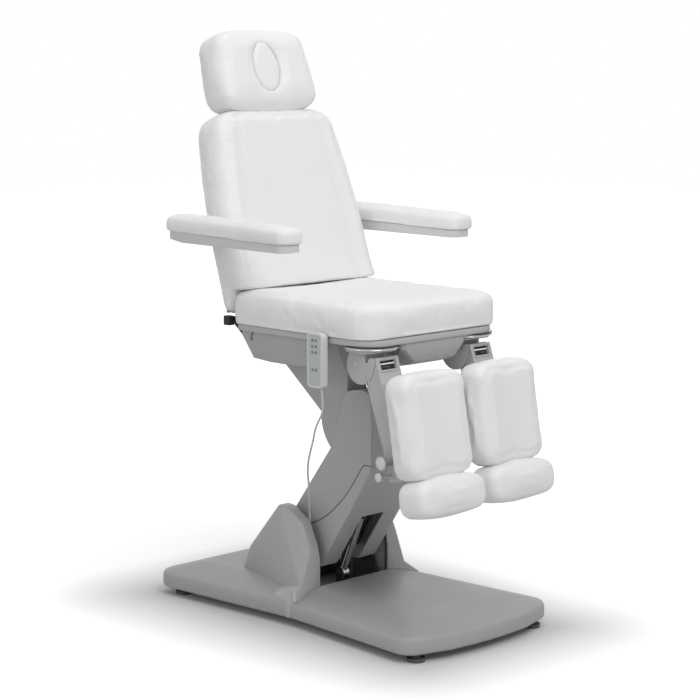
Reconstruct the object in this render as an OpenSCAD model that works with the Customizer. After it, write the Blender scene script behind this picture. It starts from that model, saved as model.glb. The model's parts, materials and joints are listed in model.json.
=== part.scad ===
// Podiatry chair: lifting base, parallel lift arm, upholstered seat, backrest,
// headrest, armrests and two separately swinging leg rests. Millimetres.
// +X is the front of the chair, +Y the patient's left, +Z up; floor at zero.

/* [Base] */
// Length of the base cover
base_length = 1048; // [960:1:1200]
// Width of the base cover at both ends
base_width = 552; // [520:1:680]
// Width of the base cover at its waist
waist_width = 490; // [470:1:510]
// Forward bow of the base cover's front edge
front_bow = 34; // [10:1:60]
// Plan radius of the base cover's corners
base_corner = 52; // [30:1:80]
// Gap between the floor and the base cover
floor_gap = 22; // [18:1:30]
// Height of the base cover's upright edge
edge_height = 48; // [36:1:56]
// Rise of the base cover from its edge to its middle
top_rise = 22; // [12:1:30]
// Wall of the moulded covers
cover_wall = 4; // [3:0.5:5]
// Diameter of a levelling foot
foot_diameter = 48; // [36:1:60]

/* [Pedestal] */
// Clear width between the two pedestal covers
pedestal_gap = 264; // [258:1:280]
// Width of a pedestal cover at its top
pedestal_top = 30; // [24:1:40]
// Height of the base pivot above the floor
pivot_height = 190; // [180:1:200]
// Distance of the base pivot behind the middle of the base
pivot_back = 94; // [70:1:120]

/* [Lift arm] */
// Distance between the base pivot and the knee pivot
arm_length = 416; // [400:1:430]
// Slope of the lift arm at its highest position
arm_angle = 62.8; // [60:0.1:64]
// Width of the lift arm's cover
arm_width = 212; // [206:1:218]
// Radius of the arm cover around the base pivot
arm_foot = 78; // [72:1:82]
// Radius of the two main pivot shafts
shaft_radius = 12; // [9:0.5:14]
// Distance between the arm's pivot line and the tie link
tie_offset = 50; // [46:1:54]
// Width of the slot in the arm's lower cover
slot_width = 86; // [84:1:92]

/* [Upper housing] */
// Width of the housing under the seat
housing_width = 196; // [192:1:198]
// Radius of the housing around the knee pivot
housing_radius = 118; // [112:1:122]

/* [Seat] */
// Height of the seat cushion's underside
seat_height = 808; // [800:1:830]
// Length of the seat cushion
seat_length = 536; // [500:1:560]
// Width of the seat cushion
seat_width = 516; // [500:1:560]
// Thickness of the seat cushion
seat_thickness = 92; // [70:1:100]
// Distance of the seat's front edge before the middle of the base
seat_front = 324; // [318:1:330]
// Plan radius of the seat cushion's front corners
seat_corner = 80; // [50:1:100]
// Thickness of the trim plate under the seat cushion
rim_thickness = 18; // [12:1:20]
// Width of the tub under the seat
tub_width = 484; // [470:1:490]

/* [Backrest] */
// Length of the backrest cushion
back_length = 552; // [500:1:600]
// Width of the backrest cushion at its widest
back_width = 502; // [460:1:510]
// Thickness of the backrest cushion
back_thickness = 95; // [75:1:105]
// Lean of the backrest from upright in the shown position
back_lean = 18; // [14:0.5:22]

/* [Headrest] */
// Height of the headrest cushion along the backrest
head_length = 216; // [180:1:240]
// Width of the headrest cushion at its widest
head_width = 338; // [300:1:360]
// Thickness of the headrest cushion
head_thickness = 91; // [70:1:100]
// Gap between backrest and headrest cushions
head_gap = 6; // [3:1:12]
// Width of the oval face hole
face_hole_width = 92; // [70:1:110]
// Height of the oval face hole
face_hole_height = 142; // [110:1:150]

/* [Armrests] */
// Length of an armrest pad
arm_pad_length = 474; // [420:1:500]
// Width of an armrest pad
arm_pad_width = 82; // [70:1:90]
// Thickness of an armrest pad
arm_pad_thickness = 42; // [34:1:50]
// Clear distance between the two armrests
arm_pad_spacing = 562; // [556:1:580]

/* [Leg rests] */
// Distance between the two leg arms, middle to middle
leg_spacing = 356; // [350:1:362]
// Distance between the two calf pads, middle to middle
calf_spacing = 266; // [262:1:276]
// Length of a calf pad
calf_length = 246; // [220:1:256]
// Width of a calf pad
calf_width = 234; // [200:1:240]
// Thickness of a calf pad
calf_thickness = 76; // [60:1:84]
// Height of a foot pad along the leg
foot_length = 93; // [76:1:98]
// Thickness of a foot pad
foot_thickness = 90; // [70:1:94]
// Forward lean of the leg rests
leg_lean = 10; // [8:0.5:12]
// Diameter of a swivel disc
disc_diameter = 146; // [130:1:150]
// Diameter of a clamp knob
knob_diameter = 36; // [28:1:40]
// Diameter of an index plunger's knob
plunger_diameter = 24; // [18:1:26]

/* [Handset] */
// Width of the handset
handset_width = 56; // [50:1:62]
// Length of the handset
handset_length = 143; // [130:1:150]
// Thickness of the handset
handset_thickness = 21; // [18:1:24]
// Diameter of the handset's cord
cord_diameter = 5.5; // [4.5:0.5:6.5]

/* [Hidden] */

// Common fits
$fn = 40;
fit = 0.3;          // gap between separate pieces
play = 0.06;        // radial play of a running pivot
over = 2;           // overrun of a cut
steel_plate = 8;    // plate of the pivot brackets
pin_radius = 6;     // small pivot pins

// Colours
white = [0.9, 0.9, 0.9];
grey = [0.6, 0.6, 0.61];
light_grey = [0.72, 0.72, 0.73];
steel = [0.45, 0.46, 0.47];
dark = [0.12, 0.12, 0.13];
chrome = [0.8, 0.8, 0.82];

// Base
base_top = floor_gap + edge_height;
base_crown = base_top + top_rise;
edge_flare = 6;        // lower edge drawn in
edge_round = 12;       // drawn-in ring at the top edge
slope_inset = 44;      // where the slope of the top ends
waist_place = 10;      // waist before the middle
waist_blend = 70;      // half length of the rounded waist
well_back = 196;       // well between the pedestals, rear end
well_front = 8;        // well between the pedestals, front end
foot_inset = 64;       // feet in from the base's ends
foot_side = 52;        // feet in from the base's sides
foot_pad_height = 10;
stud_radius = 6;
rail_width = 40;
rail_bottom = 26;
rail_height = 34;
rail_end = 60;         // rails in from the base's ends
foot_boss = 11;        // steel around a foot's stud
rail_top = rail_bottom + rail_height;
control_box_share = 0.735;   // of the room behind the well
control_box_width = 90;
control_box_height = 30;

// Pedestal outline from the base pivot, as shares of pivot_height
pedestal_shares = [[0.54, -0.64], [0.54, -0.13], [0.49, 0.084], [0.33, 0.42],
    [0.016, 0.595], [-0.12, 0.605], [-0.92, -0.17], [-1.12, -0.64]];
pedestal_round = 7;
pedestal_toe = 18;
pedestal_foot = 64;     // outer face above the toe, from the inner face
// rear edge of the toe, from the waist's middle and edge
toe_places = [[-125, -48], [-60, -7]];

// Gland of the mains cord, in a notch of the right pedestal's toe
gland_radius = 6;
gland_ribs = 6;
gland_pitch = 6;
gland_rib = 1.2;
gland_lift = 1.3;
gland = [waist_place * 2, gland_radius + gland_rib - waist_width / 2,
    base_top + gland_lift];

// Pivots
pivot = [-pivot_back, pivot_height];
arm_dir = [cos(arm_angle), sin(arm_angle)];
arm_side = [sin(arm_angle), -cos(arm_angle)];
knee = pivot + arm_length * arm_dir;
tie_low = pivot + tie_offset * arm_side;
tie_high = knee + tie_offset * arm_side;

// Arm outline from the base pivot, as shares of arm_length
arm_belly_shares = [[0.185, -0.125], [0.404, 0.202], [0.4615, 0.2885],
    [0.644, 0.568], [0.651, 0.60]];
arm_front_shares = [[0.656, 0.882], [0.642, 1.058], [0.625, 1.086],
    [0.5865, 1.099], [0.490, 1.091], [0.4495, 1.080], [0.404, 1.034],
    [0.368, 0.904], [0.308, 0.752], [0.286, 0.690]];
arm_rear_shares = [[-0.010, 0.296], [-0.171, 0.084]];
seam_shares = [[-0.1346, 0.13], [0.02, 0.138], [0.125, 0.163], [0.265, 0.243],
    [0.404, 0.370], [0.5, 0.49], [0.5745, 0.5985], [0.6, 0.615], [0.651, 0.618]];
seam_gap = 0.8;
arm_foot_start = 154;
arm_foot_end = 300;
arm_mouth_start = 90;
arm_mouth_end = 236;
arm_half = arm_width / 2;
arm_inner = arm_half - cover_wall;
slot_top_share = 0.225;
slot_end_share = 0.5;

// Steel arm plates
arm_plate_in = 84;
arm_plate_half = 38;
arm_tie_radius = 9;
arm_waist_share = 0.745;
arm_waist_half = 32;
arm_waist_out = 13;

// Carrier plates
carrier_in = 66;
carrier_end = 42;
carrier_tie_end = 22;
carrier_neck_shares = [[-1.271, 1], [-0.178, 1], [-0.178, 0.29], [0.17, 0.215]];

// Upper housing outline from the knee pivot, as shares of housing_radius
housing_shares = [[-1.014, 0.09], [-2.364, 1.17]];
housing_inner_radius = 72;
housing_front = 16;
housing_half = housing_width / 2;
housing_wall = 3;

// Tie link and its lane
tie_lane = 27;
tie_thick = 14;
tie_half = 10;
tie_ear = 5;

// Lift actuator
lift_lane = -12;
lift_eye = 20;
// of the base pivot's height and of the arm's length
lift_low_shares = [0.36316, -0.45263];
lift_high_shares = [0.5, 0.57692];
lift_low = pivot + pivot_height * lift_low_shares;
lift_high = pivot + arm_length * lift_high_shares;
lift_rod_radius = 8.5;
lift_tube_radius = 13;
lift_tube_start = 185;
lift_rod_end = 225;
lift_bore_stop = 20;
lift_eye_radius = 14;
lift_pin = 6;
lift_motor_radius = 18;
lift_motor_offset = 34;
lift_motor_length = 118;
lift_gear = 52;

// Seat
rim_bottom = seat_height - rim_thickness;
rim_inset = 6;
seat_half = seat_width / 2;
seat_rear = seat_front - seat_length;
seat_rear_corner = 40;
seat_edge = 26;
seat_dish = -6;
seat_top = seat_height + seat_thickness;
frame_thickness = 20;
frame_top = rim_bottom - fit;
frame_bottom = frame_top - frame_thickness;

// Tub
tub_half = tub_width / 2;
tub_depth = 110;
tub_rear_in = 7;       // rear of the tub before the seat's rear edge
tub_foot_in = 34;      // rear of the tub's bottom before the seat's rear edge
tub_step_in = 174;     // narrow front part of the tub
tub_nose_in = 12;      // front of the tub behind the seat's front edge
tub_rear = seat_rear + tub_rear_in;
tub_rear_foot = seat_rear + tub_foot_in;
tub_step = seat_front - tub_step_in;
tub_nose = seat_front - tub_nose_in;
tub_nose_half = 122;
tub_bottom = seat_height - tub_depth;
tub_side_rise = 14;
tub_nose_rise = 27;
tub_nose_low_share = 0.68;
tub_hole_play = 11;
tub_belly_half = 212;
tub_flat_shares = [0.88, 0.8];
tub_corner = 40;
tub_wall = 3;

// Places from the seat's rear or front edge and the cushion's underside
hinge_place = [-12, 4];
recline_place = [60, -81];
armrest_place_up = 237;
armrest_reach = 338;
armrest_axis_place = [-90, 226];
leg_place = [-33, -61];
drum_place = [-74, -71];
calf_place = [47, -104];
handset_drop = 133;

// Backrest pivot and its pieces
back_hinge = [seat_rear, seat_height] + hinge_place;
back_shaft = 8;
back_start = 16;
back_edge = 30;
back_corner = 66;
back_dish = -9;
back_width_shares = [[0, 1], [0.5, 0.985], [0.62, 0.96], [0.74, 0.92],
    [0.86, 0.875], [1, 0.84]];
pan_thickness = 8;
pan_inset = 7;
rail_depth = 25;
rail_wide = 25;
rail_lane = 190;
rail_high_lane = 118;
rail_from = 46;
knuckle_radius = 14;
hinge_block_width = 18;
crank = [-30, -66];
crank_radius = 11;
recline_mount = [0, seat_height] + recline_place;
recline_lane = 128;
hinge_boss = 11;
recline_tube = 17;
recline_rod = 9;
recline_motor_length = 96;

// Headrest
head_start = back_start + back_length + head_gap;
head_edge = 30;
head_corner = 44;
head_crown = 7;
head_rear = 9;
head_post_lane = 60;
head_post = 9;
head_post_depth = 170;
head_board = 12;
plug_gap = 0.3;
plug_taper = 3;

// Armrests
arm_pad_bottom = seat_height + armrest_place_up;
arm_pad_front = back_hinge[0] + armrest_reach;
arm_pad_tilt = 1.4;
arm_pad_edge = 14;
arm_pad_corner = 30;
arm_pad_crown = 4;
tray_depth = 28;
tray_end_depth = 20;
tray_inset = 5;
tray_corner = 22;
armrest_shaft = 6;
armrest_axis = back_hinge + armrest_axis_place;

// Legs
leg_pivot = [seat_front, seat_height] + leg_place;
drum = [seat_front, seat_height] + drum_place;
drum_radius = 49;
hinge_width = 80;
cheek_plate = 10;
disc_thickness = 9;
turn_plate = 8;
turn_pin = 12;
knuckle = 14;
leg_pin = 7;
arm_lower_width = 46;
leg_block_shares = [[0.24, 0.3], [0.33, 0.3], [0.58, -0.45], [0.78, -0.97],
    [1.62, -1.1]];
leg_run = 239;
leg_run_front = 109;
leg_tail = 14;
leg_tail_depth = 46;
leg_head_cut = 62;
drum_gap = 2;
window_width = 56;
window_height = 24;
window_depth = 10;
window_lean = 18.7;
calf_rear = [seat_front, seat_height] + calf_place;
calf_corner = 42;
calf_edge = 26;
calf_trough = -13;
calf_plate = 4;
foot_gap = 4;
foot_edge = 26;
foot_corner = 34;
foot_dish = -5;
foot_rear = 6;
slide_bar = [24, 20];
slide_length = 175;
end_block = 44;
bracket_reach = 32;
bracket_plate = 6;
knob_height = 14;
knob_stem = 20;
knob_in = 12;
knob_back = 10;
plunger_reach = 46;
plunger_in = 9;
plunger_rod = 4;
plunger_knob = 10;

// Handset
handset_out = 4;
handset_x = 148;
handset_low = seat_height - handset_drop;
handset_corner = 12;
keypad_inset = 6;
keypad_thickness = 1.2;
key_radius = 4;
key_height = 1.4;
key_column = 13;
// heights of the four key rows, as shares of the handset's length
key_row_shares = [0.87, 0.76, 0.65, 0.33];
hook_width = 26;
hook_thickness = 3;
hook_reach = 34;

// Cord, from the handset's lower end to the gland on the pedestal
cord_points = [[163, -272, 673], [166, -271, 640], [160, -267, 608],
    [127, -258, 565], [102, -245, 524], [66, -226, 470], [46, -212, 433],
    [36, -200, 398], [23, -186, 362], [0, -162, 328], [-24, -140, 298],
    [-36, -127, 268], [-42, -125, 236], [-58, -125, 208], [-80, -125, 190]];
cord_steps = 4;
cord_sides = 8;

// Helpers
function arc(c, r, a, b, n) = [for (i = [0 : n])
    [c[0] + r * cos(a + (b - a) * i / n), c[1] + r * sin(a + (b - a) * i / n)]];
function unit(v) = v / norm(v);
function mean(p) = [for (k = [0 : len(p[0]) - 1])
    [for (q = p) q[k]] * [for (q = p) 1] / len(p)];
function flip(p) = [for (i = [len(p) - 1 : -1 : 0]) p[i]];
function mirrored(p) = [for (i = [len(p) - 1 : -1 : 0]) [p[i][0], -p[i][1]]];
function inset(p, d) = [for (i = [0 : len(p) - 1])
    let (n = len(p), a = unit(p[i] - p[(i + n - 1) % n]),
        b = unit(p[(i + 1) % n] - p[i]),
        u = [-a[1], a[0]], v = [-b[1], b[0]])
    p[i] + d * (u + v) / (1 + u * v)];
function at_height(p, z) = [for (q = p) [q[0], q[1], z]];
// Outline of a link with a round end at a and at b
function link(a, ra, b, rb) = let (t = atan2(b[1] - a[1], b[0] - a[0]))
    concat(arc(a, ra, t + 90, t + 270, 12), arc(b, rb, t - 90, t + 90, 12));

// Solid through a stack of rings with the same number of points
module loft(rings) {
    n = len(rings[0]);
    m = len(rings);
    points = concat([for (r = rings) each r], [mean(rings[0]), mean(rings[m - 1])]);
    sides = [for (k = [0 : m - 2], i = [0 : n - 1])
        let (j = (i + 1) % n, a = k * n, b = (k + 1) * n)
        each [[a + i, b + i, b + j], [a + i, b + j, a + j]]];
    low = [for (i = [0 : n - 1]) [m * n, i, (i + 1) % n]];
    high = [for (i = [0 : n - 1]) [m * n + 1, (m - 1) * n + (i + 1) % n,
        (m - 1) * n + i]];
    polyhedron(points = points, faces = concat(sides, low, high), convexity = 8);
}

// Plate standing in the plane of the chair's side, at the given distance
module side_plate(points, y, thick) {
    translate([0, y + thick, 0]) rotate([90, 0, 0])
        linear_extrude(height = thick) polygon(points);
}
module cross_pin(c, r, y, long) {
    translate([c[0], y + long, c[1]]) rotate([90, 0, 0])
        cylinder(r = r, h = long);
}
module box(x0, x1, y0, y1, z0, z1) {
    translate([x0, y0, z0]) cube([x1 - x0, y1 - y0, z1 - z0]);
}
module both_sides() {
    children();
    mirror([0, 1, 0]) children();
}

// One ring of a cushion: rear at a, front at b, half width w
function pad_ring(z, w, a, b, rear, edge, crown, swell) =
    let (re = min(rear, (b - a) * 0.3), fe = min(edge, (b - a) * 0.48, w * 0.6))
    concat(
        arc([a + re, re - w], re, 180, 270, 2),
        [[(a + b - fe) / 2, -w - swell]],
        arc([b - fe, fe - w], fe, 270, 360, 3),
        [for (s = [-0.72, -0.38, 0, 0.38, 0.72])
            [b + crown * (1 - s * s) * (1 - s * s), s * (w - fe)]],
        arc([b - fe, w - fe], fe, 0, 90, 3),
        [[(a + b - fe) / 2, w + swell]],
        arc([a + re, w - re], re, 90, 180, 2));
function round_in(v, r) = v >= r ? 0 : r - sqrt(r * r - (r - v) * (r - v));
function end_places(corner, edge) =
    [0, edge * 0.13, edge * 0.5, edge, (corner + edge) * 0.5, corner];

// Cushion standing on its end: length along z, front towards +x
module cushion(long, wide, deep, low_corner, high_corner, edge, crown, shares,
        drawn = 3, swell = 2) {
    ends_low = end_places(max(low_corner, edge + drawn), edge);
    ends_high = end_places(max(high_corner, edge + drawn), edge);
    start = ends_low[5];
    middle = [for (s = [0.25, 0.5, 0.75]) start + s * (long - start - ends_high[5])];
    places = concat(ends_low, middle, [for (i = [5 : -1 : 0]) long - ends_high[i]]);
    loft([for (v = places)
        let (e = min(v, long - v),
            corner = v < long / 2 ? low_corner : high_corner,
            w = lookup(v / long, shares) * wide / 2 - round_in(e, corner),
            d = round_in(e, edge) * 0.8,
            full = e < edge ? e / edge : 1)
        at_height(pad_ring(v, w, d * 0.4, deep - d, drawn * 2, edge, crown * full,
            swell * full), v)]);
}
straight_shares = [[0, 1], [1, 1]];

// Base
function base_outline(e) =
    let (l = base_length / 2 - e, w = base_width / 2 - e, n = waist_width / 2 - e,
        r = max(base_corner - e, base_corner / 5), f = l - front_bow,
        bow = [for (i = [-2 : 2]) let (y = i * (w - r) / 3)
            [f + front_bow * (1 - pow(y / w, 2)), y]],
        right = concat(arc([r - l, r - w], r, 180, 270, 5),
            [[waist_place - waist_blend, -n - (w - n) * 0.12], [waist_place, -n],
            [waist_place + waist_blend, -n - (w - n) * 0.12]],
            arc([f - r, r - w], r, 270, 350, 5)))
    concat(right, bow, mirrored(right));

module base_cover() {
    color(grey) difference() {
        loft([at_height(base_outline(edge_flare), floor_gap),
            at_height(base_outline(0), floor_gap + edge_flare),
            at_height(base_outline(0), base_top - edge_round),
            at_height(base_outline(edge_round / 3), base_top - edge_round / 3),
            at_height(base_outline(edge_round), base_top),
            at_height(base_outline(slope_inset + base_corner), base_crown)]);
        translate([0, 0, floor_gap - over]) linear_extrude(height =
            base_top - floor_gap + over - cover_wall)
            polygon(base_outline(edge_round + cover_wall));
        box(-well_back, well_front, -pedestal_gap / 2, pedestal_gap / 2,
            floor_gap, base_crown + over);
    }
}

module base_frame() {
    half = pedestal_gap / 2;
    rail_half = base_length / 2 - rail_end;
    cross_x = base_length / 2 - foot_inset;
    foot_y = base_width / 2 - foot_side;
    plate_y = arm_half + steel_plate;
    color(steel) difference() {
        union() {
            both_sides() box(-rail_half, rail_half, half - rail_width,
                half, rail_bottom, rail_top - cover_wall * 2);
            for (x = [[-cross_x - foot_boss, rail_width / 2 - cross_x],
                    [cross_x - rail_width / 2, cross_x + foot_boss]])
                box(x[0], x[1], -foot_y - foot_boss, foot_y + foot_boss,
                    rail_bottom, rail_top - cover_wall * 2);
            box(-well_back + cover_wall, well_front - cover_wall,
                -half + rail_width / 2, half - rail_width / 2, rail_bottom,
                rail_top - cover_wall * 2);
            // rear wall of the well
            box(-well_back + cover_wall, -well_back + cover_wall * 2, fit - half,
                half - fit, rail_bottom, base_crown - cover_wall);
            // brackets of the base pivot
            both_sides() side_plate(concat(
                arc(pivot, steel_plate * 4, 180, 0, 16),
                [[well_front - cover_wall, rail_bottom],
                [-well_back + cover_wall, rail_bottom]]), plate_y, steel_plate);
            // ears of the tie link
            for (y = [tie_lane - tie_thick / 2 - tie_ear - fit,
                    tie_lane + tie_thick / 2 + fit])
                side_plate(concat(arc(tie_low, tie_half, 180, 0, 12),
                    [[tie_low[0] + tie_half, rail_bottom],
                    [tie_low[0] - tie_half, rail_bottom]]), y, tie_ear);
            cross_pin(tie_low, pin_radius, tie_lane - tie_thick, tie_thick * 2);
            // ears of the lift actuator
            for (y = [lift_lane - lift_eye / 2 - steel_plate / 2 - fit,
                    lift_lane + lift_eye / 2 + fit])
                side_plate(concat(arc(lift_low, lift_eye_radius, 180, 0, 12),
                    [[lift_low[0] + lift_eye_radius, rail_bottom],
                    [lift_low[0] - lift_eye_radius, rail_bottom]]), y,
                    steel_plate / 2);
            cross_pin(lift_low, lift_pin, lift_lane - lift_eye, lift_eye * 2);
        }
        cross_pin(pivot, shaft_radius + play, -half, pedestal_gap);
        for (sx = [-1, 1], sy = [-1, 1])
            translate([sx * cross_x, sy * foot_y, rail_bottom - over])
                cylinder(r = stud_radius + play, h = rail_height + over * 2);
    }
}

module levelling_feet() {
    cross_x = base_length / 2 - foot_inset;
    foot_y = base_width / 2 - foot_side;
    color(dark) for (sx = [-1, 1], sy = [-1, 1])
        translate([sx * cross_x, sy * foot_y, 0]) {
            cylinder(d = foot_diameter, h = foot_pad_height);
            cylinder(r = stud_radius * 2, h = rail_bottom - fit);
            cylinder(r = stud_radius, h = rail_top - cover_wall * 2);
        }
}

function pedestal_points() = [for (s = pedestal_shares) pivot + pivot_height * s];

module pedestal_form(grow) {
    inner = pedestal_gap / 2;
    outline = inset(pedestal_points(), -grow);
    top = pedestal_points();
    front = top[0][0] - pedestal_round;
    tip = [waist_place - pedestal_round, waist_width / 2 + cover_wall
        - pedestal_round];
    foot = [front, inner + pedestal_foot, base_crown + pedestal_round];
    hull() {
        side_plate(outline, inner, pedestal_round);
        for (c = concat([for (i = [2 : 5]) [top[i][0], inner + pedestal_top,
                top[i][1] - pedestal_round]],
                [[front, inner + pedestal_top, base_top], foot,
                [front, foot[1], base_top]]))
            translate(c) sphere(r = pedestal_round + grow, $fn = 16);
    }
    // toe that flares over the edge of the base
    hull() for (c = concat([foot, [front, inner + pedestal_top, base_crown],
            [tip[0], tip[1], floor_gap + pedestal_round],
            [tip[0], tip[1] - pedestal_round * 0.4, base_top],
            [tip[0] + pedestal_toe, tip[1] - pedestal_round, base_top
                - pedestal_round / 2]],
            [for (p = toe_places) [waist_place + p[0], tip[1] + p[1], base_top]]))
        translate(c) sphere(r = pedestal_round + grow, $fn = 16);
}
module pedestal_covers() {
    inner = pedestal_gap / 2;
    color(grey) difference() {
        both_sides() difference() {
            pedestal_form(0);
            difference() {
                pedestal_form(-cover_wall);
                box(-base_length, base_length, -inner, inner + cover_wall, 0,
                    base_length);
            }
            // seat on the base cover
            loft([at_height(base_outline(-fit), 0),
                at_height(base_outline(-fit), base_top - edge_round),
                at_height(base_outline(edge_round / 3 - fit), base_top
                    - edge_round / 3),
                at_height(base_outline(edge_round), base_top + fit),
                at_height(base_outline(slope_inset + base_corner), base_crown
                    + fit)]);
        }
        translate(gland - [0, 0, over]) cylinder(r = gland_radius + gland_rib + fit,
            h = gland_pitch * gland_ribs + over * 2);
    }
}

module base_pivot_shaft() {
    long = arm_half + steel_plate * 2;
    color(chrome) cross_pin(pivot, shaft_radius, -long, long * 2);
}

module control_box() {
    front = -well_back - rail_width;
    room = base_length / 2 - foot_inset - rail_width / 2 + front;
    long = room * control_box_share;
    top = base_top - cover_wall - fit;
    color(dark) box(front - (room + long) / 2, front - (room - long) / 2,
        -control_box_width / 2, control_box_width / 2, top - control_box_height,
        top);
}

module mains_gland() {
    color(light_grey) translate(gland) {
        cylinder(r = gland_radius, h = gland_pitch * gland_ribs);
        for (i = [0 : gland_ribs - 1]) translate([0, 0, i * gland_pitch])
            cylinder(r = gland_radius + gland_rib, h = gland_pitch / 2);
    }
}

// Smooth run through the cord's points
function spline(a, b, c, d, t) = 0.5 * ((2 * b) + (c - a) * t
    + (2 * a - 5 * b + 4 * c - d) * t * t + (3 * b - a - 3 * c + d) * t * t * t);
function cord_route() = let (p = cord_points, n = len(p)) concat(
    [for (i = [0 : n - 2], k = [0 : cord_steps - 1])
        spline(p[max(i - 1, 0)], p[i], p[i + 1], p[min(i + 2, n - 1)],
            k / cord_steps)], [p[n - 1]]);
module tube(route, r, sides) {
    n = len(route);
    rings = [for (i = [0 : n - 1])
        let (d = unit(route[min(i + 1, n - 1)] - route[max(i - 1, 0)]),
            u = unit(cross(d, [1, 0, 0])), v = cross(d, u))
        [for (k = [0 : sides - 1]) route[i]
            + r * (cos(k * 360 / sides) * u + sin(k * 360 / sides) * v)]];
    loft(rings);
}
module handset_cord() {
    color(light_grey) tube(cord_route(), cord_diameter / 2, cord_sides);
}

// Lift arm
function from_pivot(shares) = [for (s = shares) pivot + arm_length * s];
function arm_outline() = concat(from_pivot(arm_belly_shares),
    from_pivot(arm_front_shares), from_pivot(arm_rear_shares),
    arc(pivot, arm_foot, arm_foot_start + 6, arm_foot_end, 8));

module arm_shell() {
    mouth = housing_radius + cover_wall / 2;
    difference() {
        side_plate(arm_outline(), -arm_half, arm_width);
        side_plate(inset(arm_outline(), cover_wall), -arm_inner, arm_inner * 2);
        // mouth where the housing turns in the arm
        side_plate(concat([knee], arc(knee, mouth, arm_mouth_start,
            arm_mouth_end, 14)),
            -arm_inner, arm_inner * 2);
        // open foot around the base pivot
        side_plate(concat([pivot], arc(pivot, arm_foot * 1.2,
            arm_foot_start + 8, arm_foot_end + 22, 12)), -arm_inner, arm_inner * 2);
        // slot for the lift actuator and the tie link
        side_plate([pivot + arm_length * [0.1, -0.3],
            pivot + arm_length * [slot_end_share, -0.3],
            pivot + arm_length * [slot_end_share, slot_top_share],
            pivot + arm_length * [0.1, slot_top_share]], -slot_width / 2,
            slot_width);
        cross_pin(pivot, shaft_radius + play + fit, -arm_width, arm_width * 2);
    }
}
module above_seam(gap) {
    seam = [for (p = from_pivot(seam_shares)) p - [0, gap]];
    far = arm_length * 2;
    side_plate(concat([pivot + [-far, arm_length * seam_shares[0][1] - gap]], seam,
        [pivot + [far, arm_length * seam_shares[8][1] - gap],
        pivot + [far, far], pivot + [-far, far]]), -arm_width, arm_width * 2);
}
module lift_arm_cover() {
    color(grey) intersection() {
        arm_shell();
        above_seam(0);
    }
}
module lift_arm_belly_cover() {
    color(grey) difference() {
        arm_shell();
        above_seam(seam_gap);
    }
}
module lift_arm_frame() {
    waist = pivot + arm_length * arm_waist_share * arm_dir
        + arm_waist_out * arm_side;
    tie_mid = pivot + arm_length * 0.45 * arm_dir - arm_plate_half / 2 * arm_side;
    lug_dir = unit(lift_high - lift_low);
    lug_far = lift_high + lug_dir * lift_eye_radius * 2.4
        + arm_side * lift_eye_radius * 0.6;
    lug_y = [lift_lane - lift_eye - steel_plate / 2 - fit,
        lift_lane + lift_eye + fit];
    color(steel) difference() {
        union() {
            both_sides() side_plate(link(pivot, arm_plate_half, waist,
                arm_waist_half), arm_plate_in, steel_plate);
            both_sides() side_plate(link(waist, arm_waist_half, knee,
                arm_plate_half), arm_plate_in, steel_plate);
            both_sides() side_plate(link(waist, arm_waist_half, lug_far,
                arm_tie_radius * 1.5), arm_plate_in, steel_plate);
            cross_pin(tie_mid, arm_tie_radius, -arm_plate_in - over,
                arm_plate_in * 2 + over * 2);
            cross_pin(lug_far, arm_tie_radius, -arm_plate_in - over,
                arm_plate_in * 2 + over * 2);
            for (y = lug_y) side_plate(link(lug_far, arm_tie_radius * 1.5,
                lift_high, lift_eye_radius), y, steel_plate / 2);
        }
        cross_pin(pivot, shaft_radius + play, -arm_width, arm_width * 2);
        cross_pin(knee, shaft_radius + play, -arm_width, arm_width * 2);
    }
}
module knee_shaft() {
    long = arm_plate_in + steel_plate + fit;
    color(chrome) cross_pin(knee, shaft_radius, -long, long * 2);
}
module tie_link() {
    color(steel) difference() {
        side_plate(link(tie_low, tie_half, tie_high, tie_half),
            tie_lane - tie_thick / 2, tie_thick);
        for (c = [tie_low, tie_high])
            cross_pin(c, pin_radius + play, tie_lane - tie_thick, tie_thick * 2);
    }
}

// Pieces of an actuator lie along their own line: x from the low pivot
module along(a, b) {
    d = b - a;
    translate([a[0], 0, a[1]]) rotate([0, -atan2(d[1], d[0]), 0]) children();
}
module lying(r, from, to, y, z) {
    translate([from, y, z]) rotate([0, 90, 0]) cylinder(r = r, h = to - from);
}
module lift_actuator_rod() {
    color(steel) along(lift_low, lift_high) difference() {
        union() {
            lying(lift_rod_radius, 0, lift_rod_end, lift_lane, 0);
            translate([0, lift_lane + lift_eye / 2, 0]) rotate([90, 0, 0])
                cylinder(r = lift_eye_radius, h = lift_eye);
        }
        translate([0, lift_lane + lift_eye, 0]) rotate([90, 0, 0])
            cylinder(r = lift_pin + play, h = lift_eye * 2);
    }
}
module lift_actuator_motor() {
    span = norm(lift_high - lift_low);
    color(dark) along(lift_low, lift_high) difference() {
        union() {
            lying(lift_tube_radius, lift_tube_start, span - lift_bore_stop,
                lift_lane, 0);
            translate([span - lift_bore_stop - lift_gear, lift_lane
                - lift_tube_radius, -lift_tube_radius])
                cube([lift_gear, lift_tube_radius * 2, lift_tube_radius * 2
                    + lift_motor_offset]);
            lying(lift_motor_radius, span - lift_motor_length
                - lift_bore_stop, span - lift_bore_stop, lift_lane,
                lift_motor_offset);
            lying(lift_pin * 1.5, span - lift_bore_stop - over, span,
                lift_lane, 0);
            translate([span, lift_lane + lift_eye / 2, 0]) rotate([90, 0, 0])
                cylinder(r = lift_eye_radius * 0.8, h = lift_eye);
            translate([span, lift_lane + lift_eye - fit, 0]) rotate([90, 0, 0])
                cylinder(r = lift_pin, h = (lift_eye - fit) * 2);
        }
        lying(lift_rod_radius + fit, lift_tube_start - over,
            span - lift_bore_stop * 2, lift_lane, 0);
    }
}

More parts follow.
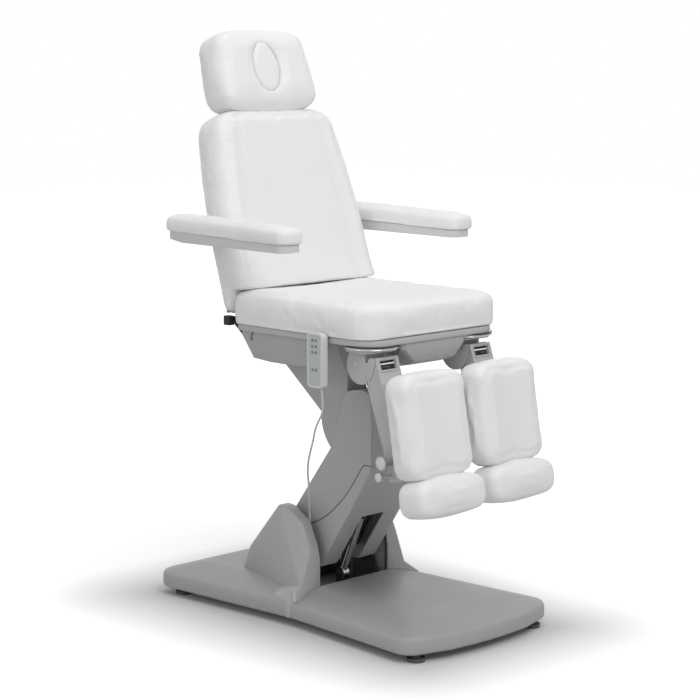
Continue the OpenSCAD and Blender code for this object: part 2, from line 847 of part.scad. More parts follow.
// Carrier between the knee and the seat
module carrier_frame() {
    rise = frame_bottom - knee[1];
    color(steel) difference() {
        union() {
            both_sides() side_plate(concat(
                arc(knee, carrier_end, 140, 290, 16),
                arc(tie_high, carrier_tie_end, 290, 400, 12),
                [for (i = [3 : -1 : 0]) knee + [carrier_neck_shares[i][0]
                    * housing_radius, carrier_neck_shares[i][1] * rise]]),
                carrier_in, steel_plate);
            cross_pin(tie_high, pin_radius, -carrier_in - over,
                carrier_in * 2 + over * 2);
            box(knee[0] + carrier_neck_shares[0][0] * housing_radius,
                knee[0] + carrier_neck_shares[1][0] * housing_radius,
                -carrier_in - over, carrier_in + over,
                frame_bottom - steel_plate, frame_bottom);
        }
        cross_pin(knee, shaft_radius + play, -arm_width, arm_width * 2);
    }
}
function housing_outline() = concat(
    [[knee[0] + housing_radius * housing_shares[1][0], tub_bottom - fit],
    knee + housing_radius * housing_shares[0]],
    arc(knee, housing_radius, 172, 232, 10),
    arc(knee, housing_inner_radius, 236, 440, 20),
    [[knee[0] - housing_front, knee[1] + housing_inner_radius],
    [knee[0] - housing_front, tub_bottom - fit]]);
module carrier_cover() {
    outline = housing_outline();
    inner = housing_half - housing_wall;
    color(grey) difference() {
        side_plate(outline, -housing_half, housing_width);
        side_plate(inset(outline, housing_wall), -inner, inner * 2);
        // open top and open turning end
        box(knee[0] + housing_radius * housing_shares[1][0] + housing_wall * 4,
            knee[0] - housing_front - housing_wall, -inner, inner,
            tub_bottom - housing_wall * 2, tub_bottom + over);
        side_plate(concat([knee], arc(knee, housing_radius * 1.1, 166, 240, 12)),
            -inner, inner * 2);
        cross_pin(knee, housing_inner_radius + housing_wall, -inner, inner * 2);
    }
}

// Seat
module seat_frame() {
    bar = rail_width / 2;
    arm_lane = tub_half - steel_plate - tub_wall - fit;
    side_y = arm_lane - steel_plate;
    front = recline_mount[0] + knuckle_radius + bar / 2;
    color(steel) difference() {
        union() {
            both_sides() box(tub_rear + bar, tub_step - tub_corner, side_y - bar,
                side_y, frame_bottom, frame_top);
            box(front, front + bar, -side_y, side_y, frame_bottom, frame_top);
            // rails over the carrier
            both_sides() box(tub_rear + bar * 4, tub_nose - bar,
                carrier_in - fit, carrier_in + bar, frame_bottom, frame_top);
            box(tub_rear + bar * 4, tub_rear + bar * 5, -side_y, recline_lane
                - recline_tube * 2.6, frame_bottom, frame_top);
            // arms to the backrest hinge
            both_sides() side_plate(concat(
                arc(back_hinge, hinge_boss, 60, 200, 10),
                [[tub_rear + bar, frame_bottom], [tub_rear + bar * 3,
                frame_bottom], [tub_rear + bar * 3, frame_top],
                [tub_rear - over, rim_bottom - fit]]), side_y - over,
                steel_plate + over);
            // ears of the recline actuator
            for (y = [recline_lane - recline_tube - steel_plate - fit,
                    recline_lane + recline_tube + fit])
                side_plate(concat(arc(recline_mount, knuckle_radius, 180, 360, 10),
                    [[front + bar, frame_bottom + over],
                    [front, frame_bottom + over]]), y, steel_plate);
            cross_pin(recline_mount, lift_pin, recline_lane - recline_tube
                - steel_plate, (recline_tube + steel_plate) * 2);
        }
        cross_pin(back_hinge, back_shaft + play, -tub_half, tub_width);
    }
}

function tub_plan(e) = let (h = tub_half - e, c = tub_corner, n = tub_nose_half - e)
    concat(arc([tub_rear + e + c, c - h], c, 180, 270, 4),
    [[tub_step - c, -h], [tub_step, c - h]],
    [[tub_step + c * 0.6, -n - c * 0.35], [tub_step + c * 1.4, -n]],
    arc([tub_nose - e - c * 0.5, c * 0.5 - n], c * 0.5, 270, 360, 3));
function tub_ring(e, z) = at_height(concat(tub_plan(e), mirrored(tub_plan(e))), z);
// Height of the tub's underside at a distance from the middle
function belly(x, extra) = tub_bottom + extra + (x < tub_step ? 0
    : tub_nose_rise * (x - tub_step) / (tub_nose - tub_step));
module tub_form(e) {
    side = tub_half - tub_belly_half;
    function squeeze(p) = [for (q = p) [max(q[0], tub_rear_foot + e
        + (q[0] - tub_rear - e) * 0.3), q[1] * (q[0] <= tub_step
        ? 1 - side / tub_half : tub_nose_low_share), 0]];
    top = tub_ring(e, rim_bottom - fit);
    low = [for (q = squeeze(top)) [q[0], q[1], belly(q[0], tub_side_rise + e)]];
    flat = [for (q = low) [q[0] * tub_flat_shares[0], q[1]
        * tub_flat_shares[1], belly(q[0], e)]];
    upper = [for (q = top) [q[0], q[1], q[2] - frame_thickness * 0.8]];
    loft([flat, low, upper, [for (q = top) [q[0], q[1], q[2] + (e > 0 ? over : 0)]]]);
}
// Round recesses in which the leg rests turn
module leg_recesses(grow) {
    both_sides() translate([drum[0], leg_spacing / 2, 0])
        cylinder(d = disc_diameter + (drum_gap + grow) * 2, h = seat_height);
}
module seat_tub() {
    arm_lane = tub_half - steel_plate - tub_wall - fit;
    color(grey) difference() {
        tub_form(0);
        difference() {
            tub_form(tub_wall);
            leg_recesses(tub_wall);
        }
        leg_recesses(0);
        // opening for the carrier
        box(knee[0] + (carrier_neck_shares[0][0] * housing_radius - tub_hole_play),
            knee[0] + carrier_neck_shares[1][0] * housing_radius + tub_hole_play,
            -carrier_in - steel_plate * 1.5, carrier_in + steel_plate * 1.5,
            tub_bottom - over, tub_bottom + tub_side_rise * 1.5);
        // slots for the hinge arms and the crank
        both_sides() box(tub_rear - over, tub_rear + tub_corner, arm_lane
            - steel_plate - over - fit, arm_lane + fit, frame_bottom - over,
            rim_bottom);
        box(tub_rear - tub_corner, tub_rear + tub_corner * 2, recline_lane
            - recline_tube - steel_plate * 2, recline_lane + recline_tube
            + steel_plate * 2, tub_bottom + tub_side_rise + tub_wall, rim_bottom);
    }
}

function seat_plan(e) = let (h = seat_half - e, r = seat_corner - e,
    q = seat_rear_corner - e, f = seat_front - e, b = seat_rear + e,
    right = concat(arc([b + q, q - h], q, 180, 270, 5),
        arc([f - r, r - h], r, 270, 360, 7))) concat(right, mirrored(right));
module seat_rim() {
    color(light_grey) difference() {
        translate([0, 0, rim_bottom]) linear_extrude(height = rim_thickness - fit)
            polygon(seat_plan(rim_inset));
        // notch over the crank
        box(seat_rear - over, tub_rear + tub_corner * 2, recline_lane
            - recline_tube - steel_plate * 2, recline_lane + recline_tube
            + steel_plate * 2, rim_bottom - over, seat_height + over);
    }
}
module seat_cushion() {
    color(white) translate([seat_front, 0, seat_height]) rotate([0, -90, 0])
        cushion(seat_length, seat_width, seat_thickness, seat_corner,
            seat_rear_corner, seat_edge, seat_dish, straight_shares);
}

// Handset on its hook
handset_back = seat_half + handset_out;
handset_face = handset_back + handset_thickness;
function rounded(w, h, r) = concat(arc([w / 2 - r, h - r], r, 0, 90, 6),
    arc([r - w / 2, h - r], r, 90, 180, 6), arc([r - w / 2, r], r, 180, 270, 6),
    arc([w / 2 - r, r], r, 270, 360, 6));
module handset_slab(e, y, thick) {
    side_plate([for (p = rounded(handset_width - 2 * e, handset_length - 2 * e,
        max(handset_corner - e / 2, e))) p + [handset_x, handset_low + e]], y, thick);
}
module handset_case() {
    color(white) difference() {
        handset_slab(0, -handset_face, handset_thickness);
        handset_slab(keypad_inset, -handset_face - over, over
            + keypad_thickness + fit);
        for (i = [0 : 7]) key(i, 0, over);
    }
}
module handset_keypad() {
    color([0.6, 0.64, 0.62]) difference() {
        handset_slab(keypad_inset + fit, -handset_face, keypad_thickness);
        for (i = [0 : 7]) key(i, fit, over);
    }
}
module key(i, grow, extra) {
    cross_pin([handset_x + (i % 2 == 0 ? -1 : 1) * key_column / 2, handset_low
        + handset_length * key_row_shares[floor(i / 2)]], key_radius + grow,
        -handset_face - key_height - extra, key_height + extra
        + keypad_thickness + (extra > 0 ? key_height : 0));
}
module handset_button_1() { color(light_grey) key(0, -fit, 0); }
module handset_button_2() { color(light_grey) key(1, -fit, 0); }
module handset_button_3() { color(light_grey) key(2, -fit, 0); }
module handset_button_4() { color(light_grey) key(3, -fit, 0); }
module handset_button_5() { color(light_grey) key(4, -fit, 0); }
module handset_button_6() { color(light_grey) key(5, -fit, 0); }
module handset_button_7() { color(light_grey) key(6, -fit, 0); }
module handset_button_8() { color(light_grey) key(7, -fit, 0); }
module handset_hook() {
    color(chrome) {
        box(handset_x - hook_width / 2, handset_x + hook_width / 2,
            fit - handset_back, hook_thickness - handset_back, rim_bottom
            - hook_reach, seat_height - fit * 2);
        box(handset_x - hook_width / 2, handset_x + hook_width / 2,
            fit - handset_back, rim_inset - seat_half - fit, rim_bottom
            + hook_thickness, rim_bottom + hook_thickness * 2);
    }
}

// Recline actuator
crank_pin = back_hinge + crank;
module recline_actuator_motor() {
    span = norm(crank_pin - recline_mount);
    color(dark) along(recline_mount, crank_pin) difference() {
        union() {
            translate([0, recline_lane + recline_tube, 0]) rotate([90, 0, 0])
                cylinder(r = knuckle_radius, h = recline_tube * 2);
            lying(recline_tube, 0, span * 0.55, recline_lane, 0);
            lying(recline_tube, knuckle_radius * 2, knuckle_radius * 2
                + recline_motor_length, recline_lane - recline_tube * 2.1, 0);
            translate([knuckle_radius * 2, recline_lane - recline_tube * 3,
                -recline_tube]) cube([recline_tube * 2, recline_tube * 3,
                recline_tube * 2]);
        }
        translate([0, recline_lane + recline_tube * 2, 0]) rotate([90, 0, 0])
            cylinder(r = lift_pin + play, h = recline_tube * 4);
        lying(recline_rod + fit, knuckle_radius * 1.5, span, recline_lane, 0);
    }
}
module recline_actuator_rod() {
    span = norm(crank_pin - recline_mount);
    color(chrome) along(recline_mount, crank_pin) union() {
        lying(recline_rod, span * 0.36, span, recline_lane, 0);
        translate([span, recline_lane + recline_tube * 0.6, 0]) rotate([90, 0, 0])
            cylinder(r = crank_radius, h = recline_tube * 1.2);
        translate([span, recline_lane + recline_tube - fit, 0]) rotate([90, 0, 0])
            cylinder(r = lift_pin, h = (recline_tube - fit) * 2);
    }
}

// Backrest: its own frame leans about the hinge
module leaning() {
    translate([back_hinge[0], 0, back_hinge[1]]) rotate([0, -back_lean, 0])
        children();
}
module backrest_frame() {
    top = back_start + back_length * 0.94;
    rear = -pan_thickness - fit;
    color(steel) difference() {
        union() {
            leaning() {
                both_sides() box(rear - rail_depth, rear, rail_high_lane,
                    rail_high_lane + rail_wide, rail_from, top);
                box(rear - rail_depth, rear, -rail_lane - over, rail_lane + over,
                    rail_from, rail_from + rail_wide);
                for (v = [back_length * 0.5, top - rail_wide])
                    box(rear - rail_depth, rear, -rail_high_lane - over,
                        rail_high_lane + over, v, v + rail_wide);
                both_sides() side_plate(concat(
                    arc([0, 0], hinge_boss, 200, 360, 10),
                    [[hinge_boss * 0.6, hinge_boss], [rear, back_start - fit],
                    [rear, rail_from + rail_wide], [rear - rail_depth, rail_from + rail_wide],
                    [rear - rail_depth * 0.8, rail_from * 0.6]]), rail_lane
                    + fit, steel_plate);
                // sockets of the headrest posts
                both_sides() box(rear - rail_depth, rear, head_post_lane
                    - rail_wide / 2, head_post_lane + rail_wide / 2,
                    top - head_post_depth, top);
            }
            // hinge shaft
            cross_pin(back_hinge, back_shaft, -tub_half - hinge_block_width / 2,
                tub_width + hinge_block_width);
            // crank of the recline actuator
            for (y = [recline_lane - recline_tube - steel_plate - fit,
                    recline_lane + recline_tube + fit])
                side_plate(link(back_hinge, hinge_boss, crank_pin, crank_radius),
                    y, steel_plate);
            // armrest shafts
            both_sides() translate([armrest_axis[0], arm_pad_spacing / 2
                + arm_pad_width * 0.8, armrest_axis[1]]) rotate([90, 0, 0])
                cylinder(r = armrest_shaft, h = arm_pad_spacing / 2
                    + arm_pad_width * 0.8 - rail_high_lane - rail_wide / 2);
        }
        leaning() both_sides() translate([rear - rail_depth / 2, head_post_lane,
            top - head_post_depth - over])
            cylinder(r = head_post + play, h = head_post_depth + over * 2);
    }
}
module backrest_pan() {
    rear = -pan_thickness;
    shares = back_width_shares;
    long = back_length - pan_inset * 2;
    half = [for (s = shares) s[1] * back_width / 2 - pan_inset];
    corner = back_corner - pan_inset;
    side = concat([for (i = [0 : 4]) [back_start + pan_inset + shares[i][0] * long,
        -half[i]]], arc([back_start + pan_inset + long - corner, corner - half[5]],
        corner, 270, 360, 6));
    color(dark) leaning() rotate([0, -90, 0]) translate([0, 0, fit / 2])
        linear_extrude(height = pan_thickness - fit)
            polygon(concat(side, mirrored(side)));
}
module backrest_cushion() {
    color(white) difference() {
        leaning() translate([0, 0, back_start])
            cushion(back_length, back_width, back_thickness, back_edge + over,
                back_corner, back_edge, back_dish, back_width_shares);
        // room for the rear of the seat cushion
        box(seat_rear - over, seat_front, -seat_width, seat_width, 0,
            seat_top + over);
    }
}
module backrest_hinge_blocks() {
    color(dark) both_sides() difference() {
        box(back_hinge[0] - knuckle_radius * 0.8, seat_rear - fit * 2, tub_half
            + fit, tub_half + fit + hinge_block_width, back_hinge[1]
            - knuckle_radius * 0.8, back_hinge[1] + knuckle_radius);
        cross_pin(back_hinge, back_shaft + play, tub_half - over,
            hinge_block_width * 0.5 + over);
    }
}

// Headrest
module headrest_frame() {
    rear = -pan_thickness - fit;
    top = back_start + back_length * 0.94;
    post_x = rear - rail_depth / 2;
    color(chrome) leaning() {
        both_sides() translate([post_x, head_post_lane, top - head_post_depth])
            cylinder(r = head_post, h = head_start + head_length * 0.6
                - top + head_post_depth);
        box(head_rear - head_board - fit, head_rear - fit, -head_width * 0.4,
            head_width * 0.4, head_start + head_corner * 0.4, head_start
            + head_corner * 0.7);
        both_sides() box(head_rear - head_board - fit, head_rear - fit,
            head_post_lane - head_post, head_width * 0.4, head_start
            + head_corner * 0.4, head_start + head_length - head_corner * 0.4);
        both_sides() box(post_x, head_rear - fit - head_board / 2, head_post_lane
            - head_post, head_post_lane + head_post, head_start
            + head_length * 0.1, head_start + head_length * 0.6);
    }
}
function oval(w, h, n) = [for (i = [0 : n - 1])
    [h / 2 * cos(360 * i / n), w / 2 * sin(360 * i / n)]];
head_middle = head_start + head_length * 0.52;
module oval_block(e, from, to) {
    translate([from, 0, head_middle]) rotate([0, 90, 0])
        linear_extrude(height = to - from)
            polygon(oval(face_hole_width + e * 2, face_hole_height + e * 2, 40));
}
module headrest_cushion() {
    color(white) leaning() difference() {
        translate([head_rear, 0, head_start])
            cushion(head_length, head_width, head_thickness, head_corner,
                head_corner, head_edge, head_crown,
                [[0, 1], [0.4, 1], [1, 0.9]]);
        oval_block(0, -head_thickness, head_thickness * 2);
    }
}
module face_hole_plug() {
    color(white) leaning() union() {
        oval_block(-plug_gap, head_rear, head_rear + head_thickness
            + head_crown / 3);
        oval_block(-plug_gap - plug_taper, head_rear + head_thickness - over,
            head_rear + head_thickness + head_crown);
    }
}

// Armrests
module armrest_place(s) {
    translate([arm_pad_front, s * (arm_pad_spacing + arm_pad_width) / 2,
        arm_pad_bottom]) rotate([0, arm_pad_tilt, 0]) children();
}
module armrest_pad(s) {
    color(white) armrest_place(s) rotate([0, -90, 0])
        cushion(arm_pad_length, arm_pad_width, arm_pad_thickness, arm_pad_corner,
            arm_pad_corner, arm_pad_edge, arm_pad_crown, straight_shares,
            drawn = 2, swell = 1);
}
module armrest_tray(s) {
    long = arm_pad_length - tray_inset * 2;
    wide = arm_pad_width - tray_inset * 2;
    color(grey) difference() {
        armrest_place(s) intersection() {
            translate([-tray_inset, wide / 2, -fit]) rotate([90, 0, 0])
                linear_extrude(height = wide) polygon([[0, 0], [-long, 0],
                    [-long, -tray_end_depth], [-long * 0.86, -tray_depth],
                    [-long * 0.08, -tray_depth * 0.75], [0, -tray_end_depth]]);
            translate([-tray_inset - long / 2, -wide / 2, -tray_depth - over])
                linear_extrude(height = tray_depth + over)
                    polygon(rounded(long, wide, tray_corner));
        }
        translate([0, s > 0 ? 0 : -base_length, 0]) cross_pin(armrest_axis,
            armrest_shaft + play, s > 0 ? 0 : base_length - arm_pad_spacing / 2
            - arm_pad_width * 0.8 - over, arm_pad_spacing / 2
            + arm_pad_width * 0.8 + over);
    }
}
module armrest_pad_right() { armrest_pad(-1); }
module armrest_pad_left() { armrest_pad(1); }
module armrest_tray_right() { armrest_tray(-1); }
module armrest_tray_left() { armrest_tray(1); }

// Leg rests, built for one side at its own middle and then placed
module leg_side(s) {
    translate([0, s * leg_spacing / 2, 0]) mirror([0, s > 0 ? 0 : 1, 0]) children();
}
module swivel_discs() {
    color(chrome) for (s = [-1, 1]) leg_side(s) difference() {
        translate([drum[0], 0, rim_bottom - fit - disc_thickness])
            cylinder(d = disc_diameter, h = disc_thickness, $fn = 64);
        translate([drum[0], 0, rim_bottom - fit - disc_thickness - over])
            cylinder(r = turn_pin + play, h = disc_thickness + over * 2);
    }
}
plate_top = rim_bottom - fit * 2 - disc_thickness;
module leg_hinge_housing(s) {
    half = hinge_width / 2;
    clear = knuckle * 1.65;
    color(grey) leg_side(s) difference() {
        union() {
            intersection() {
                translate([drum[0], 0, plate_top - turn_plate])
                    cylinder(d = disc_diameter * 0.9, h = turn_plate);
                box(0, leg_pivot[0] + knuckle / 2, -disc_diameter, disc_diameter,
                    0, plate_top);
            }
            translate([drum[0], 0, plate_top - turn_plate]) cylinder(r = turn_pin,
                h = turn_plate + disc_thickness);
            both_sides() difference() {
                union() {
                    translate([drum[0], half, drum[1]]) rotate([90, 0, 0])
                        cylinder(r = drum_radius, h = cheek_plate);
                    box(drum[0] - drum_radius * 0.6, leg_pivot[0] - clear,
                        half - cheek_plate, half, drum[1], plate_top
                        - turn_plate / 2);
                }
                box(leg_pivot[0] - clear, leg_pivot[0] + clear * 2,
                    half - cheek_plate - over, half + over, leg_pivot[1],
                    plate_top + over);
                box(0, leg_pivot[0] * 2, half - cheek_plate - over, half + over,
                    plate_top - turn_plate / 2, plate_top + drum_radius);
            }
            both_sides() translate([leg_pivot[0], half, leg_pivot[1]])
                rotate([90, 0, 0]) cylinder(r = knuckle, h = cheek_plate);
            cross_pin(leg_pivot, leg_pin, -half + fit, hinge_width - fit * 2);
        }
    }
}
function leg_line() = let (k = drum_radius, p = leg_pivot) concat(
    [for (q = leg_block_shares) p + k * q],
    [[p[0] + leg_run_front, p[1] - leg_run], slide_top + leg_tail_run,
    slide_top - leg_tail_run], arc(drum, drum_radius + drum_gap, -62, -12, 6));
// The slide bore runs down the leg arm, leaning like the pads
slide_top = [leg_pivot[0] + leg_run_front - leg_tail_depth / 2
    - drum_radius * 0.1, leg_pivot[1] - leg_run - leg_tail];
leg_tail_run = leg_tail_depth / 2 * [cos(leg_lean), sin(leg_lean)];
module down_leg() {
    translate([slide_top[0], 0, slide_top[1]]) rotate([0, -leg_lean, 0])
        children();
}
module leg_arm(s) {
    half = hinge_width / 2;
    color(grey) leg_side(s) difference() {
        union() {
            side_plate(flip(leg_line()), half - arm_lower_width, arm_lower_width);
            intersection() {
                side_plate(flip(leg_line()), -half, hinge_width);
                box(0, leg_pivot[0] * 2, -half, half, leg_pivot[1] - leg_head_cut,
                    leg_pivot[1] * 2);
            }
            // plate behind the calf pad
            pad_frame() box(-calf_plate * 2.6, -fit, -calf_width * 0.25, pad_shift
                + half - over, -calf_length * 0.84, -calf_length * 0.16);
            // tongue on the pivot pin
            cross_pin(leg_pivot, knuckle, -half + cheek_plate + fit,
                hinge_width - (cheek_plate + fit) * 2);
            box(leg_pivot[0], leg_pivot[0] + knuckle + drum_gap * 2,
                -half + cheek_plate + fit, half - cheek_plate - fit,
                leg_pivot[1] - knuckle, leg_pivot[1] + knuckle * 0.7);
        }
        cross_pin(leg_pivot, leg_pin + play, -half, hinge_width);
        // room for the bosses of the housing
        both_sides() cross_pin(leg_pivot, knuckle + drum_gap, half - cheek_plate
            - fit, cheek_plate + over);
        // window in the head's front
        translate([leg_pivot[0] + drum_radius * 0.455, 0, leg_pivot[1]
            - drum_radius * 0.08]) rotate([0, -window_lean, 0])
            translate([-window_depth, -window_width / 2, -window_height / 2])
                cube([window_depth * 3, window_width, window_height]);
        down_leg() translate([-slide_bar[0] / 2 - fit, half - arm_lower_width / 2
            - slide_bar[1] / 2 - fit, -over])
            cube([slide_bar[0] + fit * 2, slide_bar[1] + fit * 2,
                slide_length + over * 2]);
    }
}
pad_shift = (leg_spacing - calf_spacing) / 2;
module pad_frame() {
    translate([calf_rear[0], -pad_shift, calf_rear[1]]) rotate([0, -leg_lean, 0])
        children();
}
module calf_pad(s) {
    color(white) leg_side(s) pad_frame() translate([0, 0, -calf_length])
        cushion(calf_length + calf_edge, calf_width, calf_thickness, calf_corner,
            calf_corner, calf_edge, calf_trough, straight_shares);
}
module foot_pad(s) {
    color(white) leg_side(s) pad_frame() translate([foot_rear, 0,
        -calf_length - foot_gap - foot_length])
        cushion(foot_length, calf_width, foot_thickness, foot_corner, foot_corner,
            foot_edge, foot_dish, straight_shares);
}
module leg_extension(s) {
    half = hinge_width / 2;
    lane = half - arm_lower_width / 2;
    color(grey) leg_side(s) difference() {
        union() {
            down_leg() {
                translate([-slide_bar[0] / 2, lane - slide_bar[1] / 2, -fit - over])
                    cube([slide_bar[0], slide_bar[1], slide_length]);
                translate([-leg_tail_depth / 2, half - arm_lower_width,
                    -fit - end_block]) cube([leg_tail_depth, arm_lower_width,
                    end_block]);
            }
            // bracket behind the foot pad
            pad_frame() {
                box(-bracket_reach, foot_rear - fit, pad_shift + half
                    - arm_lower_width, pad_shift + half - arm_lower_width / 2,
                    -calf_length - foot_gap - bracket_reach, -calf_length - over);
                box(-bracket_plate, foot_rear - fit, -calf_width * 0.25,
                    pad_shift + half - arm_lower_width / 2, -calf_length
                    - foot_gap - foot_length * 0.75, -calf_length - foot_gap * 3);
            }
        }
        down_leg() translate([plunger_in - leg_tail_depth / 2, half + over, -fit
            - end_block * 0.56]) rotate([90, 0, 0]) cylinder(r = plunger_rod + play,
                h = arm_lower_width / 2);
    }
}
module clamp_knob(s) {
    half = hinge_width / 2;
    color(chrome) leg_side(s) down_leg() translate([knob_in - leg_tail_depth / 2,
        half + fit, knob_back]) rotate([-90, 0, 0]) {
            cylinder(d = knob_diameter / 2, h = knob_stem);
            translate([0, 0, knob_stem]) cylinder(d = knob_diameter,
                h = knob_height);
        }
}
module index_plunger(s) {
    half = hinge_width / 2;
    color(chrome) leg_side(s) down_leg() translate([plunger_in
        - leg_tail_depth / 2, half - arm_lower_width / 4, -fit - end_block * 0.56])
        rotate([-90, 0, 0]) {
            cylinder(r = plunger_rod, h = arm_lower_width / 4 + plunger_reach);
            translate([0, 0, arm_lower_width / 4 + plunger_reach - plunger_knob])
                cylinder(d = plunger_diameter, h = plunger_knob);
        }
}
module leg_hinge_housing_right() { leg_hinge_housing(-1); }
module leg_hinge_housing_left() { leg_hinge_housing(1); }
module leg_arm_right() { leg_arm(-1); }
module leg_arm_left() { leg_arm(1); }
module calf_pad_right() { calf_pad(-1); }
module calf_pad_left() { calf_pad(1); }
module leg_extension_right() { leg_extension(-1); }
module leg_extension_left() { leg_extension(1); }
module foot_pad_right() { foot_pad(-1); }
module foot_pad_left() { foot_pad(1); }
module clamp_knob_right() { clamp_knob(-1); }
module clamp_knob_left() { clamp_knob(1); }
module index_plunger_right() { index_plunger(-1); }
module index_plunger_left() { index_plunger(1); }

base_cover();
base_frame();
levelling_feet();
pedestal_covers();
base_pivot_shaft();
control_box();
mains_gland();
handset_cord();
lift_arm_frame();
lift_arm_cover();
lift_arm_belly_cover();
knee_shaft();
tie_link();
lift_actuator_motor();
lift_actuator_rod();
carrier_frame();
carrier_cover();
seat_frame();
seat_tub();
seat_rim();
seat_cushion();
handset_hook();
handset_case();
handset_keypad();
handset_button_1();
handset_button_2();
handset_button_3();
handset_button_4();
handset_button_5();
handset_button_6();
handset_button_7();
handset_button_8();
recline_actuator_motor();
recline_actuator_rod();
backrest_frame();
backrest_pan();
backrest_cushion();
backrest_hinge_blocks();
headrest_frame();
headrest_cushion();
face_hole_plug();
armrest_pad_right();
armrest_pad_left();
armrest_tray_right();
armrest_tray_left();
swivel_discs();
leg_hinge_housing_right();
leg_arm_right();
calf_pad_right();
leg_extension_right();
foot_pad_right();
clamp_knob_right();
index_plunger_right();
leg_hinge_housing_left();
leg_arm_left();
calf_pad_left();
leg_extension_left();
foot_pad_left();
clamp_knob_left();
index_plunger_left();
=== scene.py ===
import json
import math

import bpy
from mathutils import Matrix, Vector

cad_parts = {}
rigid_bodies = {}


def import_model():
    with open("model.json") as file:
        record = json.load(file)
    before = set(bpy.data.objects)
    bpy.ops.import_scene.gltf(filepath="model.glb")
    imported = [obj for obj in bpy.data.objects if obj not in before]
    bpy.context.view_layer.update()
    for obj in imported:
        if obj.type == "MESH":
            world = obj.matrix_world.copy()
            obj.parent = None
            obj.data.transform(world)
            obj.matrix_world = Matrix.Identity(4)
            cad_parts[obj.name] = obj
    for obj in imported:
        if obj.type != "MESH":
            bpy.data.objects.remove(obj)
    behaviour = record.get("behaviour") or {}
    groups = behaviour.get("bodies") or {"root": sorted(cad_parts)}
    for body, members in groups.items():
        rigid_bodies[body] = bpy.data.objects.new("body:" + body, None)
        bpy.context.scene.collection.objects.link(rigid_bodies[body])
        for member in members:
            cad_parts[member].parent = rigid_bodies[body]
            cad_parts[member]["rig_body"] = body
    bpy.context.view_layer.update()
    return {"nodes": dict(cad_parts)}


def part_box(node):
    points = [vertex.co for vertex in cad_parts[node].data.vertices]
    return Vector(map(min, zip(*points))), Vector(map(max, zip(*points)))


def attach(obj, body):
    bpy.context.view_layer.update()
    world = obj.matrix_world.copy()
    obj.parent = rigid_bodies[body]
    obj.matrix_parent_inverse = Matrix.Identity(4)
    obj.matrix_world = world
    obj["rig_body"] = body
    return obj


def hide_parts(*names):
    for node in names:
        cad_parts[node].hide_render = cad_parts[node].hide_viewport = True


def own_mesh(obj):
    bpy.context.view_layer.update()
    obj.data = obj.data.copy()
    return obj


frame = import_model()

MM = 0.001
SIDES = {"right": -1, "left": 1}
MERGE_GAP = 0.02 * MM
FLAT_TURN = math.radians(0.6)
SMOOTH_TURN = math.radians(35)
EDGE_TURN = math.radians(28)
EDGE_SEGMENTS = 3

# Camera, at the photograph's place
CAMERA_PLACE = (3.9464, -3.8624, 1.5450)
CAMERA_YAW = math.radians(45.687)
CAMERA_PITCH = math.radians(8.403)
CAMERA_LENS = 105.08
CAMERA_SENSOR = 36
CAMERA_REACH = 100

# Handset cord: the points of the route in the part, from the handset down to the arm
CORD_POINTS = [(163, -272, 673), (166, -271, 640), (160, -267, 608), (127, -258, 565),
               (102, -245, 524), (66, -226, 470), (46, -212, 433), (36, -200, 398),
               (23, -186, 362), (0, -162, 328), (-24, -140, 298), (-36, -127, 268),
               (-42, -125, 236), (-58, -125, 208), (-80, -125, 190)]
CORD_DIAMETER = 5.5 * MM
CORD_STEPS = 4
CORD_ROUNDS = 5

# Leather and plastic colours, as they show in even light, and the painted shade of the tub's
# side slots
WHITE_LEATHERETTE = (0.90, 0.90, 0.905, 1)
COVER_GREY = (0.465, 0.465, 0.47, 1)
BASE_GREY = (0.40, 0.40, 0.405, 1)
TRIM_GREY = (0.70, 0.70, 0.705, 1)
RIM_GREY = (0.52, 0.52, 0.525, 1)
# painted shade: the dark grey that stands for the shade inside the tub's side slots
SLOT_SHADE_GREY = (0.20, 0.20, 0.20, 1)
CASTING_GREY = (0.53, 0.53, 0.535, 1)
FRAME_DARK = (0.035, 0.035, 0.037, 1)
CHROME = (0.72, 0.72, 0.73, 1)
BLACK = (0.012, 0.012, 0.013, 1)
HANDSET_GREY = (0.70, 0.70, 0.70, 1)
KEYPAD_GREY = (0.52, 0.55, 0.54, 1)
KEY_GREY = (0.44, 0.46, 0.455, 1)
MARK_GREY = (0.05, 0.055, 0.055, 1)
CORD_GREY = (0.60, 0.60, 0.60, 1)
KNOB_WHITE = (0.72, 0.72, 0.715, 1)


# Selecting and finishing

def deselect():
    if bpy.context.object and bpy.context.object.mode != "OBJECT":
        bpy.ops.object.mode_set(mode="OBJECT")
    bpy.ops.object.select_all(action="DESELECT")


def pick(piece):
    deselect()
    piece.select_set(True)
    bpy.context.view_layer.objects.active = piece


def apply_all(piece):
    pick(piece)
    for modifier in list(piece.modifiers):
        bpy.ops.object.modifier_apply(modifier=modifier.name)


def settle(piece, body, material):
    """Puts a finished piece's place in its mesh, dresses it and lets it ride."""
    pick(piece)
    bpy.ops.object.transform_apply(location=True, rotation=True, scale=True)
    piece.data.materials.clear()
    piece.data.materials.append(material)
    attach(piece, body)
    return piece


def body_of_node(node):
    return frame["nodes"][node]["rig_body"]


def copy_of(node, name):
    """A merged copy of a CAD node's mesh, ready to be modelled on."""
    source = frame["nodes"][node]
    mesh = source.data.copy()
    mesh.name = name
    piece = bpy.data.objects.new(name, mesh)
    bpy.context.scene.collection.objects.link(piece)
    pick(piece)
    bpy.ops.object.mode_set(mode="EDIT")
    bpy.ops.mesh.select_all(action="SELECT")
    bpy.ops.mesh.remove_doubles(threshold=MERGE_GAP)
    bpy.ops.mesh.dissolve_limited(angle_limit=FLAT_TURN)
    bpy.ops.object.mode_set(mode="OBJECT")
    return piece


